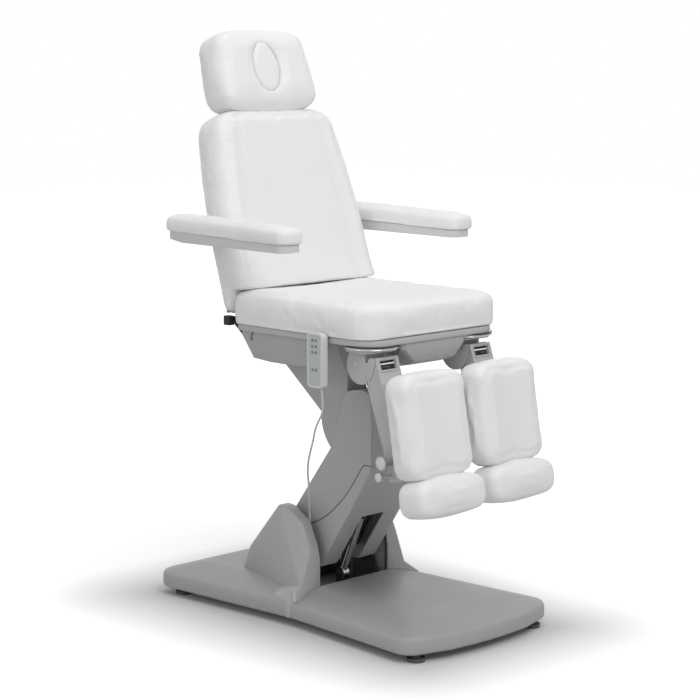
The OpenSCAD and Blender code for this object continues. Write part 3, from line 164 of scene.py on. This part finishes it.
def round_edges(piece, width):
    """Rounds a piece's edges and shades it smooth between them."""
    bevel = piece.modifiers.new("bevel", "BEVEL")
    bevel.width = width
    bevel.segments = EDGE_SEGMENTS
    bevel.limit_method = "ANGLE"
    bevel.angle_limit = EDGE_TURN
    bevel.use_clamp_overlap = True
    bevel.harden_normals = False
    apply_all(piece)
    pick(piece)
    bpy.ops.object.shade_smooth_by_angle(angle=SMOOTH_TURN)


def tube(name, route, radius, rounds, closed=False):
    """A round tube along a route, as a smooth mesh."""
    curve = bpy.data.curves.new(name, "CURVE")
    curve.dimensions = "3D"
    spline = curve.splines.new("POLY")
    spline.points.add(len(route) - 1)
    for point, place in zip(spline.points, route):
        point.co = (*place, 1)
    spline.use_cyclic_u = closed
    curve.bevel_depth = radius
    curve.bevel_resolution = rounds
    curve.use_fill_caps = not closed
    piece = bpy.data.objects.new(name, curve)
    bpy.context.scene.collection.objects.link(piece)
    pick(piece)
    bpy.ops.object.convert(target="MESH")
    piece = bpy.context.object
    pick(piece)
    bpy.ops.object.shade_smooth()
    return piece


# Materials

def new_material(name, colour, roughness, metallic=0.0, specular=0.5):
    material = bpy.data.materials.new(name)
    material.use_nodes = True
    shader = material.node_tree.nodes["Principled BSDF"]
    shader.inputs["Base Color"].default_value = colour
    shader.inputs["Roughness"].default_value = roughness
    shader.inputs["Metallic"].default_value = metallic
    shader.inputs["Specular IOR Level"].default_value = specular
    return material, material.node_tree, shader


def noise(tree, scale, detail=4.0, rough=0.5, stretch=(1, 1, 1)):
    place = tree.nodes.new("ShaderNodeTexCoord")
    mapping = tree.nodes.new("ShaderNodeMapping")
    mapping.inputs["Scale"].default_value = stretch
    texture = tree.nodes.new("ShaderNodeTexNoise")
    texture.inputs["Scale"].default_value = scale
    texture.inputs["Detail"].default_value = detail
    texture.inputs["Roughness"].default_value = rough
    tree.links.new(place.outputs["Object"], mapping.inputs["Vector"])
    tree.links.new(mapping.outputs["Vector"], texture.inputs["Vector"])
    return texture.outputs["Fac"]


def cells(tree, scale):
    place = tree.nodes.new("ShaderNodeTexCoord")
    texture = tree.nodes.new("ShaderNodeTexVoronoi")
    texture.feature = "DISTANCE_TO_EDGE"
    texture.inputs["Scale"].default_value = scale
    tree.links.new(place.outputs["Object"], texture.inputs["Vector"])
    return texture.outputs["Distance"]


def ramp(tree, value, low, high, start=0.0, end=1.0):
    spread = tree.nodes.new("ShaderNodeMapRange")
    spread.inputs["From Min"].default_value = start
    spread.inputs["From Max"].default_value = end
    spread.inputs["To Min"].default_value = low
    spread.inputs["To Max"].default_value = high
    tree.links.new(value, spread.inputs["Value"])
    return spread.outputs["Result"]


def tint(tree, shader, colour, value, depth):
    """Colour varies a little with a texture value."""
    mix = tree.nodes.new("ShaderNodeMix")
    mix.data_type = "RGBA"
    mix.inputs["A"].default_value = [c * (1 - depth) for c in colour[:3]] + [1]
    mix.inputs["B"].default_value = [min(c * (1 + depth), 1) for c in colour[:3]] + [1]
    tree.links.new(value, mix.inputs["Factor"])
    tree.links.new(mix.outputs["Result"], shader.inputs["Base Color"])


def bump(tree, shader, layers):
    """Stacks (value, strength, depth in metres) into the shader's normal."""
    last = None
    for value, strength, depth in layers:
        node = tree.nodes.new("ShaderNodeBump")
        node.inputs["Strength"].default_value = strength
        node.inputs["Distance"].default_value = depth
        tree.links.new(value, node.inputs["Height"])
        if last:
            tree.links.new(last, node.inputs["Normal"])
        last = node.outputs["Normal"]
    tree.links.new(last, shader.inputs["Normal"])


def leatherette():
    material, tree, shader = new_material("white_leatherette", WHITE_LEATHERETTE, 0.5)
    shader.inputs["Sheen Weight"].default_value = 0.08
    shader.inputs["Coat Weight"].default_value = 0.06
    shader.inputs["Coat Roughness"].default_value = 0.4
    grain = cells(tree, 620)
    creases = noise(tree, 9, detail=3, rough=0.45)
    folds = noise(tree, 34, detail=2, rough=0.5, stretch=(1, 1, 0.35))
    tint(tree, shader, WHITE_LEATHERETTE, creases, 0.022)
    roughness = ramp(tree, noise(tree, 60), 0.42, 0.56, 0.3, 0.7)
    tree.links.new(roughness, shader.inputs["Roughness"])
    bump(tree, shader, [(creases, 0.25, 6 * MM), (folds, 0.12, 1.5 * MM),
                        (ramp(tree, grain, 0, 1, 0, 0.25), 0.35, 0.12 * MM)])
    return material


def moulded(name, colour, roughness=0.42, texture=900):
    """Painted moulding with the fine spatter of its mould."""
    material, tree, shader = new_material(name, colour, roughness)
    spatter = noise(tree, texture, detail=2)
    clouds = noise(tree, 5, detail=3)
    tint(tree, shader, colour, clouds, 0.035)
    rough = ramp(tree, clouds, roughness - 0.05, roughness + 0.06, 0.3, 0.7)
    tree.links.new(rough, shader.inputs["Roughness"])
    bump(tree, shader, [(clouds, 0.06, 2 * MM), (spatter, 0.3, 0.06 * MM)])
    return material


def polished(name, colour, roughness):
    material, tree, shader = new_material(name, colour, roughness, metallic=1.0)
    smears = noise(tree, 45, detail=3)
    rough = ramp(tree, smears, roughness * 0.7, roughness * 1.5, 0.3, 0.7)
    tree.links.new(rough, shader.inputs["Roughness"])
    bump(tree, shader, [(noise(tree, 500, detail=1), 0.1, 0.02 * MM)])
    return material


def rubbery(name, colour, roughness=0.75):
    material, tree, shader = new_material(name, colour, roughness, specular=0.35)
    pores = noise(tree, 700, detail=2)
    tint(tree, shader, colour, noise(tree, 40), 0.12)
    bump(tree, shader, [(pores, 0.35, 0.08 * MM)])
    return material


LEATHER = leatherette()
COVER = moulded("cover_grey_moulding", COVER_GREY, 0.40)
BASE = moulded("base_grey_moulding", BASE_GREY, 0.42)
TRIM = moulded("trim_grey_moulding", TRIM_GREY, 0.45)
RIM = moulded("rim_grey_moulding", RIM_GREY, 0.42)
SLOT_SHADE = moulded("slot_painted_shade", SLOT_SHADE_GREY, 0.5)
CASTING = moulded("casting_grey_paint", CASTING_GREY, 0.36, texture=500)
STEEL = moulded("frame_steel_paint", FRAME_DARK, 0.45, texture=600)
BRIGHT = polished("polished_chrome", CHROME, 0.12)
MACHINED = polished("machined_steel", (0.5, 0.5, 0.51, 1), 0.28)
BLACK_PLASTIC = moulded("black_moulding", BLACK, 0.5)
HANDSET = moulded("handset_moulding", HANDSET_GREY, 0.34, texture=1400)
KEYPAD = moulded("keypad_film", KEYPAD_GREY, 0.5, texture=1600)
KEY_RUBBER = rubbery("key_rubber", KEY_GREY, 0.6)
MARK = rubbery("key_marks", MARK_GREY, 0.5)
KNOB = moulded("knob_moulding", KNOB_WHITE, 0.3)
# painted shade: near-black strips that stand for the shade in the arm seam, along the pedestal
# edge and above the swivel discs
PAINTED_GAP_SHADE = rubbery("painted_gap_shade", (0.02, 0.02, 0.02, 1))
CORD_RUBBER = rubbery("cord_rubber", CORD_GREY, 0.5)
FOOT_RUBBER = rubbery("foot_rubber", (0.10, 0.10, 0.10, 1))


# Camera

def place_camera():
    data = bpy.data.cameras.new("camera")
    data.sensor_width = CAMERA_SENSOR
    data.lens = CAMERA_LENS
    data.clip_end = CAMERA_REACH
    camera = bpy.data.objects.new("camera", data)
    bpy.context.scene.collection.objects.link(camera)
    look = Vector((-math.sin(CAMERA_YAW) * math.cos(CAMERA_PITCH),
                   math.cos(CAMERA_YAW) * math.cos(CAMERA_PITCH), -math.sin(CAMERA_PITCH)))
    camera.location = CAMERA_PLACE
    camera.rotation_mode = "QUATERNION"
    camera.rotation_quaternion = look.to_track_quat("-Z", "Y")
    bpy.context.scene.camera = camera


# Handset cord

def smooth_route(points, steps):
    """Runs a smooth line through points, with steps pieces between two of them."""
    route = []
    last = len(points) - 1
    for i in range(last):
        a, b = points[max(i - 1, 0)], points[i]
        c, d = points[i + 1], points[min(i + 2, last)]
        for k in range(steps):
            t = k / steps
            route.append(0.5 * (2 * b + (c - a) * t + (2 * a - 5 * b + 4 * c - d) * t ** 2
                                + (3 * b - a - 3 * c + d) * t ** 3))
    return route + [points[last]]


def make_cord():
    route = smooth_route([Vector(p) * MM for p in CORD_POINTS], CORD_STEPS)
    cord = tube("handset_cord_sheath", route, CORD_DIAMETER / 2, CORD_ROUNDS)
    settle(cord, "base", CORD_RUBBER)
    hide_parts("handset_cord")
    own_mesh(cord)


place_camera()
make_cord()


# Cushions

PAD_VOXEL = 6 * MM
PAD_SMOOTHING = 2
PAD_FRAMES = 20
PAD_PRESSURE = 4.0
INWARD_LOST = 0.7           # share of a movement inward that is taken back
BOARD_EDGE = 0.35           # how far a point faces the board before it is held
BOARD_GRIP = 4
FRONT_FACING = 0.5
CREASE_SLICE = 20 * MM
HEAD_HOLLOW = 12 * MM
HEAD_HOLLOW_HALF = 150 * MM
PLUG_SINK = 9 * MM


def swell(piece, cap, board):
    """Blows a pad up as cloth over foam, each point kept within cap of its start.

    The side that lies on the pad's board, facing along board, keeps its place,
    and little of the movement inward is kept.
    """
    pick(piece)
    start = [(v.co.copy(), v.normal.copy()) for v in piece.data.vertices]
    held = [max(0.0, min(1.0, (v.normal.dot(board) - BOARD_EDGE) * BOARD_GRIP))
            for v in piece.data.vertices]
    cloth = piece.modifiers.new("cloth", "CLOTH")
    settings = cloth.settings
    settings.quality = 5
    settings.mass = 0.4
    settings.tension_stiffness = 18
    settings.compression_stiffness = 18
    settings.shear_stiffness = 8
    settings.bending_stiffness = 0.6
    settings.use_pressure = True
    settings.uniform_pressure_force = PAD_PRESSURE
    settings.effector_weights.gravity = 0
    cloth.collision_settings.use_collision = False
    cloth.collision_settings.use_self_collision = False
    scene = bpy.context.scene
    scene.frame_start, scene.frame_end = 1, PAD_FRAMES
    cloth.point_cache.frame_start, cloth.point_cache.frame_end = 1, PAD_FRAMES
    for step in range(1, PAD_FRAMES + 1):
        scene.frame_set(step)
    bpy.ops.object.modifier_apply(modifier=cloth.name)
    for vertex, (rest, normal), hold in zip(piece.data.vertices, start, held):
        move = vertex.co - rest
        inward = min(move.dot(normal), 0)
        move -= normal * inward * INWARD_LOST
        if move.length > cap:
            move *= cap / move.length
        vertex.co = rest + move * (1 - hold)
    scene.frame_set(1)


def fit_box(piece, node, proud, board):
    """Lets a piece's sides stand proud of the CAD cushion's box, but not its board side.

    proud holds the millimetres ahead, toward the chair's middle, away from it,
    downward and upward.
    """
    low, high = (Vector(c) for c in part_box(node))
    ahead, inward, outward, down, above = (length * MM for length in proud)
    middle = (low[1] + high[1]) / 2
    right = inward if middle > 1 * MM else outward
    left = inward if middle < -1 * MM else outward
    low -= Vector((ahead if board[0] > -FRONT_FACING else 0, right, down))
    high += Vector((ahead, left, above))
    places = [v.co for v in piece.data.vertices]
    for axis in range(3):
        first, last = min(p[axis] for p in places), max(p[axis] for p in places)
        scale = (high[axis] - low[axis]) / (last - first)
        for p in places:
            p[axis] = low[axis] + (p[axis] - first) * scale


def crease(piece, front, share, spread, depth):
    """Presses two soft creases into a front face, at a share of its half width."""
    across, up = Vector((0, 1, 0)), Vector(front).cross(Vector((0, 1, 0)))
    points = [v for v in piece.data.vertices if v.normal.dot(front) > FRONT_FACING]
    halves = {}
    for v in points:
        level = round(v.co.dot(up) / CREASE_SLICE)
        halves[level] = max(halves.get(level, 0), abs(v.co.dot(across)))
    for v in points:
        half = halves[round(v.co.dot(up) / CREASE_SLICE)]
        away = (abs(v.co.dot(across)) / max(half, 1 * MM) - share) / spread
        v.co = v.co - Vector(front) * depth * math.exp(-away ** 2)


def hollow(piece, front, half, depth):
    """Presses the middle of a pad in from the front, softly out to half a width."""
    reach = [v.co.dot(front) for v in piece.data.vertices]
    low, high = min(reach), max(reach)
    for v, r in zip(piece.data.vertices, reach):
        inner = max(0.0, (r - low) / (high - low) * 2 - 1)
        away = min(abs(v.co.y) / half, 1)
        v.co = v.co - front * depth * inner * (0.5 + 0.5 * math.cos(math.pi * away))


def cushion(node, cap, shrink, board, proud, folds):
    """A padded form over a CAD cushion: remeshed, swollen and smoothed."""
    board = Vector(board).normalized()
    piece = copy_of(node, node + "_cover")
    pick(piece)
    bpy.ops.object.mode_set(mode="EDIT")
    bpy.ops.mesh.select_all(action="SELECT")
    bpy.ops.transform.shrink_fatten(value=-shrink)
    bpy.ops.object.mode_set(mode="OBJECT")
    remesh = piece.modifiers.new("remesh", "REMESH")
    remesh.mode = "VOXEL"
    remesh.voxel_size = PAD_VOXEL
    smooth = piece.modifiers.new("smooth", "SMOOTH")
    smooth.factor = 0.5
    smooth.iterations = PAD_SMOOTHING
    apply_all(piece)
    swell(piece, cap, board)
    soften_folds = piece.modifiers.new("soften_folds", "SMOOTH")
    soften_folds.iterations = 1
    subdivide = piece.modifiers.new("subdivide", "SUBSURF")
    subdivide.levels = subdivide.render_levels = 1
    apply_all(piece)
    fit_box(piece, node, proud, board)
    if folds:
        crease(piece, -board, *folds)
    if node == "headrest_cushion":
        hollow(piece, -board, HEAD_HOLLOW_HALF, HEAD_HOLLOW)
    if node == "face_hole_plug":
        for v in piece.data.vertices:
            v.co += board * PLUG_SINK
    pick(piece)
    bpy.ops.object.shade_smooth()
    settle(piece, body_of_node(node), LEATHER)
    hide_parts(node)


BACK_LEAN = math.radians(18)
LEG_LEAN = math.radians(10)
BACK_BOARD = (-math.cos(BACK_LEAN), 0, -math.sin(BACK_LEAN))
LEG_BOARD = (-math.cos(LEG_LEAN), 0, -math.sin(LEG_LEAN))
# node, cap of the swelling, start inward, way to the board, millimetres proud
# of the CAD box, creases (share of the half width, spread and depth)
CUSHIONS = [
    ("seat_cushion", 8 * MM, 0.5 * MM, (0, 0, -1), (0, 4, 4, 0, 0), None),
    ("backrest_cushion", 8 * MM, 0, BACK_BOARD, (3, 7, 7, 0, 0), (0.7, 0.09, 4 * MM)),
    ("headrest_cushion", 6 * MM, 0, BACK_BOARD, (4, 8, 8, 2, 8), None),
    ("face_hole_plug", 1 * MM, 0, BACK_BOARD, (2, 0, 0, 0, 0), None),
] + [("armrest_pad_" + side, 5 * MM, 0, (0, 0, -1), (6, 2, 3, 0, 1), None) for side in SIDES] \
  + [("calf_pad_" + side, 7 * MM, 0, LEG_BOARD, (0, 0, 10, 6, -5), None) for side in SIDES] \
  + [("foot_pad_" + side, 7 * MM, 0, LEG_BOARD, (2, 4, 10, 5, 2), None) for side in SIDES]
for node, cap, shrink, board, proud, folds in CUSHIONS:
    cushion(node, cap, shrink, board, proud, folds)


# Mouldings and castings with rounded edges

def soften(node, width, material):
    """A CAD part with its edges rounded, standing for the plain one."""
    piece = copy_of(node, node + "_moulding")
    round_edges(piece, width)
    settle(piece, body_of_node(node), material)
    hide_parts(node)


SOFTENED = [
    ("base_cover", 3 * MM, BASE, "cover_grey"),
    ("pedestal_covers", 2.5 * MM, COVER, "cover_grey"),
    ("lift_arm_cover", 1.6 * MM, COVER, "cover_grey"),
    ("lift_arm_belly_cover", 1.6 * MM, COVER, "cover_grey"),
    ("carrier_cover", 1.2 * MM, COVER, "cover_grey"),
    ("seat_tub", 1.2 * MM, COVER, "cover_grey"),
    ("seat_rim", 4 * MM, RIM, "trim_grey"),
    ("armrest_tray_right", 2 * MM, TRIM, "trim_grey"),
    ("armrest_tray_left", 2 * MM, TRIM, "trim_grey"),
    ("leg_hinge_housing_right", 1.2 * MM, CASTING, "painted_steel"),
    ("leg_hinge_housing_left", 1.2 * MM, CASTING, "painted_steel"),
    ("leg_arm_right", 1.5 * MM, CASTING, "painted_steel"),
    ("leg_arm_left", 1.5 * MM, CASTING, "painted_steel"),
    ("leg_extension_right", 1.2 * MM, CASTING, "painted_steel"),
    ("leg_extension_left", 1.2 * MM, CASTING, "painted_steel"),
    ("handset_case", 2.5 * MM, HANDSET, "handset_shell"),
]
for node, width, material, slot in SOFTENED:
    soften(node, width, material)

DRESSED = {
    "base_frame": STEEL, "levelling_feet": FOOT_RUBBER, "base_pivot_shaft": MACHINED,
    "control_box": BLACK_PLASTIC, "mains_gland": CORD_RUBBER, "lift_arm_frame": STEEL,
    "knee_shaft": MACHINED, "tie_link": STEEL, "lift_actuator_rod": MACHINED,
    "lift_actuator_motor": BLACK_PLASTIC, "carrier_frame": STEEL, "seat_frame": STEEL,
    "swivel_discs": BRIGHT, "handset_hook": BRIGHT, "handset_keypad": KEYPAD,
    "recline_actuator_motor": BLACK_PLASTIC, "recline_actuator_rod": MACHINED,
    "backrest_frame": STEEL, "backrest_pan": BLACK_PLASTIC,
    "backrest_hinge_blocks": BLACK_PLASTIC, "headrest_frame": BRIGHT,
    "clamp_knob_right": BRIGHT, "clamp_knob_left": BRIGHT,
    "index_plunger_right": BRIGHT, "index_plunger_left": BRIGHT,
}
for i in range(1, 9):
    DRESSED["handset_button_%d" % i] = KEY_RUBBER
for node, material in DRESSED.items():
    part = frame["nodes"][node]
    part.data.materials.clear()
    part.data.materials.append(material)


# Small pieces that the solids leave out

PIVOT = Vector((-94, 0, 190)) * MM
ARM_LENGTH = 416 * MM
ARM_HALF = 106 * MM
SEAM = [(-0.1346, 0.13), (0.02, 0.138), (0.125, 0.163), (0.265, 0.243), (0.404, 0.370),
        (0.5, 0.49), (0.5745, 0.5985), (0.6, 0.615), (0.649, 0.617)]
CHEEK_HEIGHT = 190 * MM
CHEEK_EDGE = [(0.50, -0.55), (0.50, -0.13), (0.452, 0.07), (0.31, 0.385), (0.06, 0.53)]
CHEEK_INNER = 130 * MM
LEG_PIVOT = Vector((291, 178, 747)) * MM
LEG_CHEEK_OUT = 40 * MM
WINDOW_PLACE = Vector((22.3, 0, -3.9)) * MM
WINDOW_LEAN = math.radians(18.7)
WINDOW_HALF = Vector((29, 13)) * MM
LIP_OUT, LIP_CORNER, LIP_RADIUS = 0.6 * MM, 3 * MM, 1.8 * MM
# size, and place inward, outward across and up from the middle of the window
WINDOW_PLATE = ((2, 55.6, 23.6), (8.6, 0, 0))
LATCH_BAR = ((5, 50, 4), (4.5, 0, 3.5))
LATCH_TAB = ((4, 26, 5), (4, 9, -5))
BOLTS = [(262.4, 755.7), (233.8, 739.5)]
BOLT_RADIUS, BOLT_HEIGHT, BOLT_EDGE = 3.6 * MM, 2.4 * MM, 1.1 * MM
LOOP = [(272, 714), (274, 694), (279, 684), (284, 686), (283, 696), (280, 713)]
LOOP_OUT, LOOP_RADIUS = 1.2 * MM, 1.3 * MM
# painted shade lines: the seam of the arm covers and the inner edge of the pedestal cheeks
SEAM_OUT, SEAM_DROP, SEAM_RADIUS = 0.1 * MM, 0.4 * MM, 0.9 * MM
EDGE_IN, EDGE_RADIUS = 0.6 * MM, 2.4 * MM
SLOT_PLACE, SLOT_SIZE, SLOT_LEAN, SLOT_EDGE = (-141, 240.4, 778), (8, 6, 24), 0.3, 0.8 * MM
CAPS = (("clamp_knob_", "clamp_", 15 * MM), ("index_plunger_", "plunger_", 9.5 * MM))
CAP_HEIGHT, CAP_EDGE = 2 * MM, 0.8 * MM
SUNK = 0.4 * MM             # how far a cap sits in the face that carries it
RING_POINTS = 64
MARK_SIZE, MARK_HEIGHT = 3.3 * MM, 0.4 * MM
STRIP_ROUNDS = 3
STRIP_STEPS = 4
BUTTON_SIDES = 32


def line(name, route, radius, material, body, closed=False):
    """A thin round strip along a route."""
    settle(tube(name, route, radius, STRIP_ROUNDS, closed), body, material)


def block(name, place, size, turn, material, body, bevel):
    """A block with rounded edges; turn leans it about the chair's cross axis."""
    deselect()
    bpy.ops.mesh.primitive_cube_add(size=1, location=place, rotation=(0, turn, 0), scale=size)
    piece = bpy.context.object
    piece.name = name
    pick(piece)
    bpy.ops.object.transform_apply(location=True, rotation=True, scale=True)
    round_edges(piece, bevel)
    settle(piece, body, material)


def button(name, place, radius, height, material, body, way, bevel):
    """A short round piece standing on place, its face turned to way."""
    deselect()
    turn = Vector(way).to_track_quat("Z", "Y").to_euler()
    centre = Vector(place) + Vector(way) * height / 2
    bpy.ops.mesh.primitive_cylinder_add(vertices=BUTTON_SIDES, radius=radius, depth=height,
                                        location=centre, rotation=turn)
    piece = bpy.context.object
    piece.name = name
    pick(piece)
    bpy.ops.object.transform_apply(location=True, rotation=True, scale=True)
    round_edges(piece, bevel)
    settle(piece, body, material)


for side, s in SIDES.items():
    # painted shade in the seam of the arm covers and along the inner edge of the pedestal cheek,
    # as dark strips
    seam = [PIVOT + Vector((x * ARM_LENGTH, s * (ARM_HALF + SEAM_OUT),
                            z * ARM_LENGTH - SEAM_DROP)) for x, z in SEAM]
    line("arm_seam_shade_line_" + side, smooth_route(seam, STRIP_STEPS), SEAM_RADIUS,
         PAINTED_GAP_SHADE, "lift_arm")
    edge = [PIVOT + Vector((x * CHEEK_HEIGHT, s * (CHEEK_INNER - EDGE_IN),
                            z * CHEEK_HEIGHT)) for x, z in CHEEK_EDGE]
    line("pedestal_edge_shade_strip_" + side, smooth_route(edge, STRIP_STEPS), EDGE_RADIUS,
         PAINTED_GAP_SHADE, "base")
    # painted shade: a dark block on each side of the tub stands for the shade in its slot
    x, y, z = SLOT_PLACE
    block("tub_side_slot_shade_" + side, Vector((x, s * y, z)) * MM, Vector(SLOT_SIZE) * MM,
          SLOT_LEAN, SLOT_SHADE, "seat", SLOT_EDGE)

# Swivel discs: a dark ring of painted shade in the gap above each one, and its polished lip
low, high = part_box("swivel_discs")
disc_radius = (high[0] - low[0]) / 2
RINGS = (
    ("swivel_gap_shade_ring_", high[2] - 1.0 * MM, 0.3 * MM, 1.7 * MM, PAINTED_GAP_SHADE, "black_plastic"),
    ("swivel_lip_ring_", low[2] + 1.8 * MM, 0.6 * MM, 1.6 * MM, BRIGHT, "bright_steel"),
)
for side, s in SIDES.items():
    centre = Vector(((low[0] + high[0]) / 2, s * (high[1] - disc_radius), 0))
    for name, z, out, thick, material, slot in RINGS:
        reach = disc_radius + out
        ring = [centre + Vector((reach * math.cos(turn), reach * math.sin(turn), z))
                for turn in (math.tau * k / RING_POINTS for k in range(RING_POINTS))]
        line(name + side, ring, thick, material, "seat", closed=True)

# Leg rests: bolts and lock loop on the hinge housing, the head's window and the knobs
window_out = Vector((math.cos(WINDOW_LEAN), 0, math.sin(WINDOW_LEAN)))
window_rise = Vector((-math.sin(WINDOW_LEAN), 0, math.cos(WINDOW_LEAN)))
for side, s in SIDES.items():
    swivel, leg = "leg_swivel_" + side, "leg_" + side
    cheek = s * (LEG_PIVOT.y + LEG_CHEEK_OUT)
    for number, (x, z) in enumerate(BOLTS):
        button("hinge_bolt_%s_%d" % (side, number + 1),
               (x * MM, cheek - s * SUNK / 2, z * MM), BOLT_RADIUS, BOLT_HEIGHT,
               BRIGHT, swivel, (0, s, 0), BOLT_EDGE)
    loop = [Vector((x * MM, cheek + s * LOOP_OUT, z * MM)) for x, z in LOOP]
    line("release_loop_" + side, smooth_route(loop, STRIP_STEPS), LOOP_RADIUS,
         BRIGHT, leg)
    middle = Vector((LEG_PIVOT.x, s * LEG_PIVOT.y, LEG_PIVOT.z)) + WINDOW_PLACE
    for name, (size, (inward, across, rise)), material, slot, bevel in (
            ("head_window_plate_", WINDOW_PLATE, BLACK_PLASTIC, "black_plastic", 0.3 * MM),
            ("head_latch_bar_", LATCH_BAR, BRIGHT, "bright_steel", 0.6 * MM),
            ("head_latch_tab_", LATCH_TAB, STEEL, "painted_steel", 0.6 * MM)):
        place = middle + (window_rise * rise - window_out * inward
                          + Vector((0, s * across, 0))) * MM
        block(name + side, place, Vector(size) * MM, -WINDOW_LEAN, material, leg, bevel)
    lip = []
    for a, b, start in ((-1, -1, 180), (1, -1, 270), (1, 1, 0), (-1, 1, 90)):
        for k in range(5):
            turn = math.radians(start + 22.5 * k)
            y = a * WINDOW_HALF.x + LIP_CORNER * math.cos(turn)
            z = b * WINDOW_HALF.y + LIP_CORNER * math.sin(turn)
            lip.append(middle + window_out * LIP_OUT + Vector((0, y, 0)) + window_rise * z)
    line("head_window_lip_" + side, lip, LIP_RADIUS, CASTING, leg, closed=True)
    for node, body, radius in CAPS:
        low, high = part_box(node + side)
        middle = (low + high) / 2
        face = Vector((middle[0], (high if s > 0 else low)[1] - s * SUNK, middle[2]))
        button(node.replace("_", "_cap_", 1)[:-1] + "_" + side, face, radius, CAP_HEIGHT,
               KNOB, body + side, (0, s, 0), CAP_EDGE)

# Handset: arrow marks on the keys
for number in range(1, 9):
    low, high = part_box("handset_button_%d" % number)
    x, z = (low[0] + high[0]) / 2, (low[2] + high[2]) / 2
    deselect()
    bpy.ops.mesh.primitive_cone_add(vertices=3, radius1=MARK_SIZE, radius2=MARK_SIZE,
                                    depth=MARK_HEIGHT, location=(x, low[1] - MARK_HEIGHT / 4, z),
                                    rotation=(math.pi / 2, math.pi if number % 2 else 0, 0))
    mark = bpy.context.object
    mark.name = "key_mark_%d" % number
    settle(mark, "button_%d" % number, MARK)


# Floor, backdrop and light

FLOOR_SIZE = 30
FLOOR_SHADE = (0.75, 0.75, 0.75, 1)
BASE_HALF = (0.5, 0.26, 0)
# glow of the floor, from one strength and distance from the base to another; the near glow is
# weak close to the base, a painted shadow around it
PAINTED_SHADOW_GLOW = (0.02, 0.5, 0.02, 0.32)
FAR_GLOW = (0.0, 0.4, 0.3, 1.9)
WHITE = (1, 1, 1, 1)
WORLD_LIGHT = 0.42
# name, place, aim, diameter, watts
LAMPS = [
    ("key", (3.2, -1.2, 3.6), (0, 0, 0.8), 2.6, 62),
    ("side", (-0.5, -4.2, 2.4), (0, 0, 0.8), 2.4, 15),
    ("top", (0.2, 0.4, 4.2), (0, 0, 0.5), 3.0, 30),
]


def floor_material():
    material = bpy.data.materials.new("studio_floor")
    material.use_nodes = True
    tree = material.node_tree
    tree.nodes.clear()
    out = tree.nodes.new("ShaderNodeOutputMaterial")
    path = tree.nodes.new("ShaderNodeLightPath")
    diffuse = tree.nodes.new("ShaderNodeBsdfDiffuse")
    diffuse.inputs["Color"].default_value = FLOOR_SHADE
    glow = tree.nodes.new("ShaderNodeEmission")
    place = tree.nodes.new("ShaderNodeTexCoord")
    # distance from the outline of the base, which shapes the painted shadow around it
    last = place.outputs["Object"]
    for operation, value in (("ABSOLUTE", None), ("SUBTRACT", BASE_HALF),
                             ("MAXIMUM", (0, 0, 0)), ("LENGTH", None)):
        far = tree.nodes.new("ShaderNodeVectorMath")
        far.operation = operation
        tree.links.new(last, far.inputs[0])
        if value:
            far.inputs[1].default_value = value
        last = far.outputs["Value" if operation == "LENGTH" else "Vector"]
    strength = tree.nodes.new("ShaderNodeMath")
    strength.operation = "ADD"
    # painted shadow: little glow close to the base, more further out
    tree.links.new(ramp(tree, last, *PAINTED_SHADOW_GLOW), strength.inputs[0])
    tree.links.new(ramp(tree, last, *FAR_GLOW), strength.inputs[1])
    tree.links.new(strength.outputs["Value"], glow.inputs["Strength"])
    add = tree.nodes.new("ShaderNodeAddShader")
    seen = tree.nodes.new("ShaderNodeMixShader")
    tree.links.new(diffuse.outputs["BSDF"], add.inputs[0])
    tree.links.new(glow.outputs["Emission"], add.inputs[1])
    tree.links.new(path.outputs["Is Camera Ray"], seen.inputs["Fac"])
    tree.links.new(diffuse.outputs["BSDF"], seen.inputs[1])
    tree.links.new(add.outputs["Shader"], seen.inputs[2])
    tree.links.new(seen.outputs["Shader"], out.inputs["Surface"])
    return material


def make_floor():
    deselect()
    bpy.ops.mesh.primitive_plane_add(size=FLOOR_SIZE, location=(0, 0, 0))
    floor = bpy.context.object
    floor.name = "floor"
    floor.data.materials.append(floor_material())


def make_world():
    world = bpy.data.worlds.new("studio")
    bpy.context.scene.world = world
    world.use_nodes = True
    tree = world.node_tree
    tree.nodes.clear()
    out = tree.nodes.new("ShaderNodeOutputWorld")
    path = tree.nodes.new("ShaderNodeLightPath")
    seen = tree.nodes.new("ShaderNodeMath")
    seen.operation = "MAXIMUM"
    tree.links.new(path.outputs["Is Camera Ray"], seen.inputs[0])
    tree.links.new(path.outputs["Is Glossy Ray"], seen.inputs[1])
    soft = tree.nodes.new("ShaderNodeBackground")
    soft.inputs["Color"].default_value = WHITE
    soft.inputs["Strength"].default_value = WORLD_LIGHT
    white = tree.nodes.new("ShaderNodeBackground")
    white.inputs["Color"].default_value = WHITE
    white.inputs["Strength"].default_value = 1.0
    mix = tree.nodes.new("ShaderNodeMixShader")
    tree.links.new(seen.outputs["Value"], mix.inputs["Fac"])
    tree.links.new(soft.outputs["Background"], mix.inputs[1])
    tree.links.new(white.outputs["Background"], mix.inputs[2])
    tree.links.new(mix.outputs["Shader"], out.inputs["Surface"])


def lamp(name, place, target, size, watts):
    data = bpy.data.lights.new(name, "AREA")
    data.shape = "DISK"
    data.size = size
    data.energy = watts
    light = bpy.data.objects.new(name, data)
    bpy.context.scene.collection.objects.link(light)
    light.location = place
    aim = Vector(target) - Vector(place)
    light.rotation_mode = "QUATERNION"
    light.rotation_quaternion = aim.to_track_quat("-Z", "Y")


make_floor()
make_world()
for settings in LAMPS:
    lamp(*settings)
bpy.context.scene.view_settings.view_transform = "Standard"
